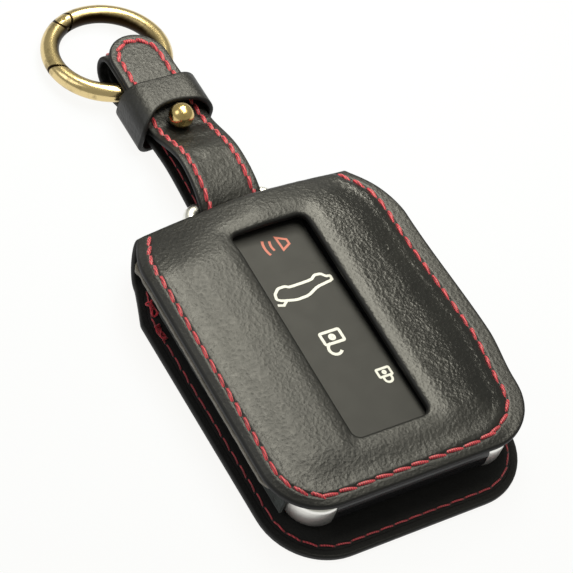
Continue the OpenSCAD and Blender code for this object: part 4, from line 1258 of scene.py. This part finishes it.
# A flat ribbon along the points, mitred at its corners
def inkStroke(points, width, closed=False):
    p = np.array(points, float)
    before, after = np.roll(p, 1, axis=0), np.roll(p, -1, axis=0)
    if not closed:
        before[0], after[-1] = 2 * p[0] - p[1], 2 * p[-1] - p[-2]
    u, v = unit(p - before), unit(after - p)
    m = unit(columns(-(u + v)[:, 1], (u + v)[:, 0]))
    reach = np.clip(m[:, 0] * -u[:, 1] + m[:, 1] * u[:, 0], icon["leastMitre"], 1)
    m *= (width / 2 / reach)[:, None]
    n = len(p)
    span = n if closed else n - 1
    faces = [[n + i, n + (i + 1) % n, (i + 1) % n, i] for i in range(span)]
    return np.vstack([p + m, p - m]), faces


def makeIcon(kind, strokes, material):
    points, faces, total = [], [], 0
    cx, cy = icon[kind]
    layer = keys[kind] + icon["raise"]
    for k, stroke in enumerate(strokes):
        flat, own = inkStroke(*stroke)
        points.append(columns(flat[:, 0] + cx, flat[:, 1] + cy, layer + icon["layer"] * k))
        faces += [[total + i for i in f] for f in own]
        total += len(flat)
    obj = addMesh(kind + "Print", np.vstack(points), faces, [material], flat=True)
    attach(obj, kind)


def hornStrokes():
    bell = [(-0.75, 1.6), (1.05, 0.63), (1.1, -0.35), (-0.6, -1.25)]
    return [(bell, 0.44, True), (cornerArc(0.3, 0.1, 2.75, 156, 201, 9), 0.46, False),
            (cornerArc(0.3, 0.1, 4.1, 158, 204, 11), 0.5, False)]


# Cuts the corners of a closed line, taking 0.15 of its sides at each end
def rounded(points):
    p = np.array(points, float)
    after = np.roll(p, -1, axis=0)
    return columns(mix(p, after, 0.15), mix(p, after, 0.85)).reshape(-1, 2)


# A car from the side, its wheels towards the ring, and its raised boot lid at the left
def trunkStrokes():
    body = [(-5.7, 0.35), (-4.6, 1.25), (-3.2, 1.3), (-2.4, 0.85), (2.2, 1.0), (3.3, 1.72), (4.5, 1.6),
            (5.2, 0.8), (6.0, 0.68), (5.9, -0.25), (2.5, -0.7), (0.05, -1.85), (-2.45, -2.0), (-5.25, -1.3),
            (-6.0, -0.75)]
    lid = [(-4.4, -1.6), (-5.35, -2.3), (-6.45, -1.95)]
    return [(rounded(body[::-1]), icon["line"], True), (lid, 0.5, False)]


# The body points to the ring and the shackle to the lower edge
def padlock(scale, isOpen):
    body = roundedBoxLoop(-1.95, 1.95, -1.25, 1.2, 0.3)
    if isOpen:
        bow = cornerArc(-0.72, -2.35, 1.22, 100, 325, 14)
    else:
        bow = np.vstack([[(-1.05, -1.2)], cornerArc(0.1, -2.1, 1.15, 180, 360, 14), [(1.25, -1.2)]])
    hole = cornerArc(0, -0.05, 0.4, 0, 345, 16)
    line = 0.56 * (1 + scale) / 2
    return [(body * scale, line, True), (bow * scale, line, False), (hole * scale, 0.62 * scale, True)]


makeIcon("horn", hornStrokes(), coralInk)
makeIcon("trunk", trunkStrokes(), whiteInk)
makeIcon("unlock", padlock(1.0, True), whiteInk)
makeIcon("lock", padlock(0.66, False), whiteInk)
print("pictograms made")

# Stitches: one slanted, arched pass of thread for each hole to the next
stitch = {
    "pitch": 2.9,
    "length": 2.95,
    "thread": 0.36,
    "arch": 0.66,
    "sink": 0.24,
    "slant": -10,
    "wobble": 0.06,
    "seed": 4,
}
lowerStitch = {"pitch": 3.6, "length": 3.7, "arch": 0.66, "slant": -8}
strapStitch = {"pitch": 2.5, "length": 2.55, "thread": 0.42, "arch": 0.7, "slant": -12}
backStitch = {"thread": 0.2, "arch": 0.2, "sink": 0.1}
innerStitch = {"pitch": 2.9, "length": 3.0, "thread": 0.17, "arch": 0.34, "sink": 0.1, "slant": -3}


def stitchTree():
    tree = bpy.data.node_groups.new("stitching", "GeometryNodeTree")
    face = tree.interface
    sockets = [("Geometry", "INPUT", "Geometry")]
    sockets += [(name, "INPUT", "Float") for name in ("Pitch", "Length", "Thread", "Arch", "Sink", "Slant")]
    sockets += [("Seed", "INPUT", "Int"), ("Material", "INPUT", "Material")]
    sockets += [("Geometry", "OUTPUT", "Geometry")]
    for name, way, kind in sockets:
        face.new_socket(name, in_out=way, socket_type="NodeSocket" + kind)
    given = addNode(tree, "NodeGroupInput").outputs
    path = addNode(tree, "GeometryNodeMeshToCurve", {0: given["Geometry"]})
    spaced = addNode(tree, "GeometryNodeResampleCurve", {
        "mode": "LENGTH", "Curve": path, "Length": given["Pitch"]})
    normal = addNode(tree, "GeometryNodeInputNamedAttribute", {
        "data_type": "FLOAT_VECTOR", "Name": "faceNormal"})
    facing = addNode(tree, "FunctionNodeAxesToRotation", {
        "primary_axis": "Z", "secondary_axis": "X", "Primary Axis": normal,
        "Secondary Axis": addNode(tree, "GeometryNodeInputTangent")})
    wobble = addNode(tree, "FunctionNodeRandomValue", {"data_type": "FLOAT", "Seed": given["Seed"]})
    wobble.inputs[2].default_value, wobble.inputs[3].default_value = -stitch["wobble"], stitch["wobble"]
    slant = addNode(tree, "ShaderNodeMath", {"operation": "ADD", 0: given["Slant"], 1: wobble.outputs[1]})
    turn = addNode(tree, "ShaderNodeCombineXYZ", {"Z": slant})
    turn = addNode(tree, "FunctionNodeEulerToRotation", {0: turn})
    rotation = addNode(tree, "FunctionNodeRotateRotation", {"rotation_space": "LOCAL", 0: facing, 1: turn})
    sink = addNode(tree, "ShaderNodeMath", {"operation": "MULTIPLY", 0: given["Sink"], 1: -1.0})
    ends = []
    for share in (-0.5, 0.5):
        reach = addNode(tree, "ShaderNodeMath", {"operation": "MULTIPLY", 0: given["Length"], 1: share})
        ends.append(addNode(tree, "ShaderNodeCombineXYZ", {"X": reach, "Z": sink}))
    crown = addNode(tree, "ShaderNodeCombineXYZ", {"Z": given["Arch"]})
    arch = addNode(tree, "GeometryNodeCurveQuadraticBezier", {
        "Resolution": 6, "Start": ends[0], "Middle": crown, "End": ends[1]})
    profile = addNode(tree, "GeometryNodeCurvePrimitiveCircle", {"Resolution": 6, "Radius": given["Thread"]})
    marked = addNode(tree, "GeometryNodeStoreNamedAttribute", {
        "data_type": "FLOAT", "Name": "along", "Geometry": arch,
        "Value": addNode(tree, "GeometryNodeSplineParameter").outputs["Factor"]})
    passed = addNode(tree, "GeometryNodeCurveToMesh", {
        "Fill Caps": True, "Curve": marked, "Profile Curve": profile})
    smoothPass = addNode(tree, "GeometryNodeSetShadeSmooth", {0: passed})
    placed = addNode(tree, "GeometryNodeInstanceOnPoints", {
        "Points": spaced, "Instance": smoothPass, "Rotation": rotation})
    real = addNode(tree, "GeometryNodeRealizeInstances", {0: placed})
    done = addNode(tree, "GeometryNodeSetMaterial", {"Geometry": real, "Material": given["Material"]})
    addNode(tree, "NodeGroupOutput", {0: done})
    return tree


stitching = stitchTree()


# Each run is the places and the normals along one seam
def sew(name, runs, body, changed=None, mirrored=False):
    size = {**stitch, **(changed or {})}
    places, normals, edges, total = [], [], [], 0
    for place, normal in runs:
        places.append(toFrame(place))
        normals.append(normal)
        edges += [(total + i, total + i + 1) for i in range(len(place) - 1)]
        total += len(place)
    mesh = bpy.data.meshes.new(name + "Path")
    mesh.from_pydata(np.vstack(places).tolist(), edges, [])
    attribute = mesh.attributes.new("faceNormal", "FLOAT_VECTOR", "POINT")
    attribute.data.foreach_set("vector", np.vstack(normals).astype(np.float32).ravel())
    source = addObject(name + "Path", mesh)
    modifier = source.modifiers.new("stitching", "NODES")
    modifier.node_group = stitching
    values = {key.capitalize(): size[key] * mm for key in ("pitch", "length", "thread", "arch", "sink")}
    slant = math.radians(size["slant"])
    values.update({"Slant": -slant if mirrored else slant, "Seed": size["seed"], "Material": thread})
    for item in stitching.interface.items_tree:
        if item.in_out == "INPUT" and item.name in values:
            modifier[item.identifier] = values[item.name]
    graph = bpy.context.evaluated_depsgraph_get()
    baked = bpy.data.meshes.new_from_object(source.evaluated_get(graph), depsgraph=graph)
    bpy.data.objects.remove(source)
    bpy.data.meshes.remove(mesh)
    baked.name = name
    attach(addObject(name, baked), body)


# Points of a closed seam that are wanted, in one row that begins after start
def openRun(seam, wanted, start):
    keep = np.roll(wanted, -start)
    index = np.roll(np.arange(len(wanted)), -start)[keep]
    return seam["place"][index], seam["normal"][index]


# Where the seams stop short of a fold or an end, and how far the back seam is lifted clear of the floor
seams = {
    "shortOfFold": 0.6,
    "sidesFrom": 3.0,
    "pastFold": 4,
    "backLift": 0.24,
    "liningShort": 8,
    "endShort": 4,
    "studShort": 1,
}


def sewWrap():
    s = wrapSeam["flat"][:, 1]
    farthest, nearest = int(np.argmax(s)), int(np.argmin(s))
    place, normal = openRun(wrapSeam, s < front - seams["shortOfFold"], farthest)
    low = np.flatnonzero(place[:, 1] < seams["sidesFrom"])
    first, last = low[0], low[-1]
    sides = [(place[: first + 1], normal[: first + 1]), (place[last:], normal[last:])]
    sew("sideStitches", sides, "front")
    sew("lowerStitches", [(place[first + 3 : last - 2], normal[first + 3 : last - 2])], "front", lowerStitch)
    place, normal = openRun(wrapSeam, s > backStart + seams["pastFold"], nearest)
    place[:, 2] = np.maximum(place[:, 2], 0) + seams["backLift"]
    sew("backStitches", [(place, normal)], "fob", backStitch, mirrored=True)
    y = liningSeam["flat"][:, 1]
    run = openRun(liningSeam, y < front - seams["liningShort"], int(np.argmax(y)))
    sew("liningStitches", [run], "fob", innerStitch)


def sewStrap():
    s = strapSeam["s"]
    index = np.roll(np.arange(len(s)), -int(np.argmax(s)))
    index = index[s[index] < s.max() - seams["endShort"]]
    sew("strapStitches", [(strapSeam["top"][index], strapSeam["normal"][index])], "strap", strapStitch)
    under = strapSeam["bottom"][index]
    shown = under[:, 1] < studY - seams["studShort"]
    cuts = np.flatnonzero(np.diff(shown.astype(int))) + 1
    runs = [part for part in np.split(np.arange(len(shown)), cuts) if shown[part[0]]]
    below = -strapSeam["normal"][index]
    sew("strapInnerStitches", [(under[part], below[part]) for part in runs], "strap", innerStitch)


# Where the lining's seam begins and ends the thread is tied off, and its ends are left in a tangle
knot = {
    "places": ((-23.0, 50.6), (-24.0, 45.6)),
    "z": 2.0,
    "reach": (0.55, 1.5),
    "thread": 0.15,
    "sides": 6,
    "turns": 5,
    "turnSteps": 26,
    "seed": 11,
}


def tieKnots():
    random = np.random.default_rng(knot["seed"])
    points, faces, start, sides = [], [], 0, knot["sides"]
    a = np.radians(np.arange(sides) * 360 / sides)[None, :, None]
    wide, long = knot["reach"]
    for x, y in knot["places"]:
        t = np.linspace(0, 2 * np.pi * knot["turns"], knot["turnSteps"] * knot["turns"])
        phase, rate = random.uniform(0, 6, 3), random.uniform(0.55, 1.45, 3)
        line = columns(x + wide * np.sin(t * rate[0] + phase[0]),
                       y + long * np.sin(t * rate[1] * 0.6 + phase[1]),
                       knot["z"] + 0.3 * np.sin(t * rate[2] + phase[2]))
        ahead = unit(np.gradient(line, axis=0))
        side = unit(np.cross(ahead, (0.1, 0.2, 1)))
        up = np.cross(side, ahead)
        tube = line[:, None] + knot["thread"] * (np.cos(a) * side[:, None] + np.sin(a) * up[:, None])
        points.append(tube.reshape(-1, 3))
        faces += loopFaces(sides, len(line), start)
        end = start + sides * (len(line) - 1)
        faces += [[start + i for i in range(sides)][::-1], [end + i for i in range(sides)]]
        start = end + sides
    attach(addMesh("threadKnots", np.vstack(points), faces, [knotThread]), "fob")


sewWrap()
sewStrap()
tieKnots()
print("stitches sewn")

# Floor and light
light = {
    "floor": 0.93,
    "floorTint": "#fffefb",
    "floorShade": "#363c46",
    "floorSize": 3000,
    "floorZ": -0.02,
    "surroundTint": "#fffff4",
    "lampTint": "#fffbe9",
    "fillTint": "#fbfcff",
    "surround": 0.36,
    "key": 0.62,
    "strapLight": 0.22,
    "fill": 0.25,
}


# Uncoated white paper. Light from all round the room lifts it evenly, so part of it is a glow
def addFloor():
    size, z = light["floorSize"], light["floorZ"]
    corners = [(-size, -size, z), (size, -size, z), (size, size, z), (-size, size, z)]
    floor = addMesh("floor", corners, [[0, 1, 2, 3]], [], flat=True)
    material, tree, _ = newMaterial("whitePaper")
    glow = addNode(tree, "ShaderNodeEmission", {
        "Color": linear(light["floorTint"]), "Strength": light["floor"]})
    matt = addNode(tree, "ShaderNodeBsdfDiffuse", {"Color": linear(light["floorShade"])})
    both = addNode(tree, "ShaderNodeAddShader", {0: glow, 1: matt})
    addNode(tree, "ShaderNodeOutputMaterial", {"Surface": both})
    floor.data.materials.append(material)


def addLamp(name, place, aim, size, watts, colour, turn=0):
    data = bpy.data.lights.new(name, "AREA")
    data.shape = "RECTANGLE"
    data.size, data.size_y = (v * mm for v in size)
    data.energy = watts
    data.color = linear(colour)[:3]
    lamp = addObject(name, data)
    lamp.location = Vector(place) * mm
    lamp.rotation_euler = (Vector(aim) * mm - lamp.location).to_track_quat("-Z", "Y").to_euler()
    lamp.rotation_euler.rotate_axis("Z", math.radians(turn))


def addSurround():
    world = bpy.data.worlds.new("surround")
    bpy.context.scene.world = world
    world.use_nodes = True
    background = world.node_tree.nodes["Background"]
    background.inputs["Color"].default_value = linear(light["surroundTint"])
    background.inputs["Strength"].default_value = light["surround"]


addFloor()
addSurround()
addLamp("key", (34, 70, 190), (34, 69, 0), (96, 205), light["key"], light["lampTint"], 6)
addLamp("strapLight", (100, 150, 190), (100, 149, 0), (60, 64), light["strapLight"], light["lampTint"])
addLamp("fill", (-300, 120, 260), (0, 0, 0), (200, 200), light["fill"], light["fillTint"])
print("floor and light set")
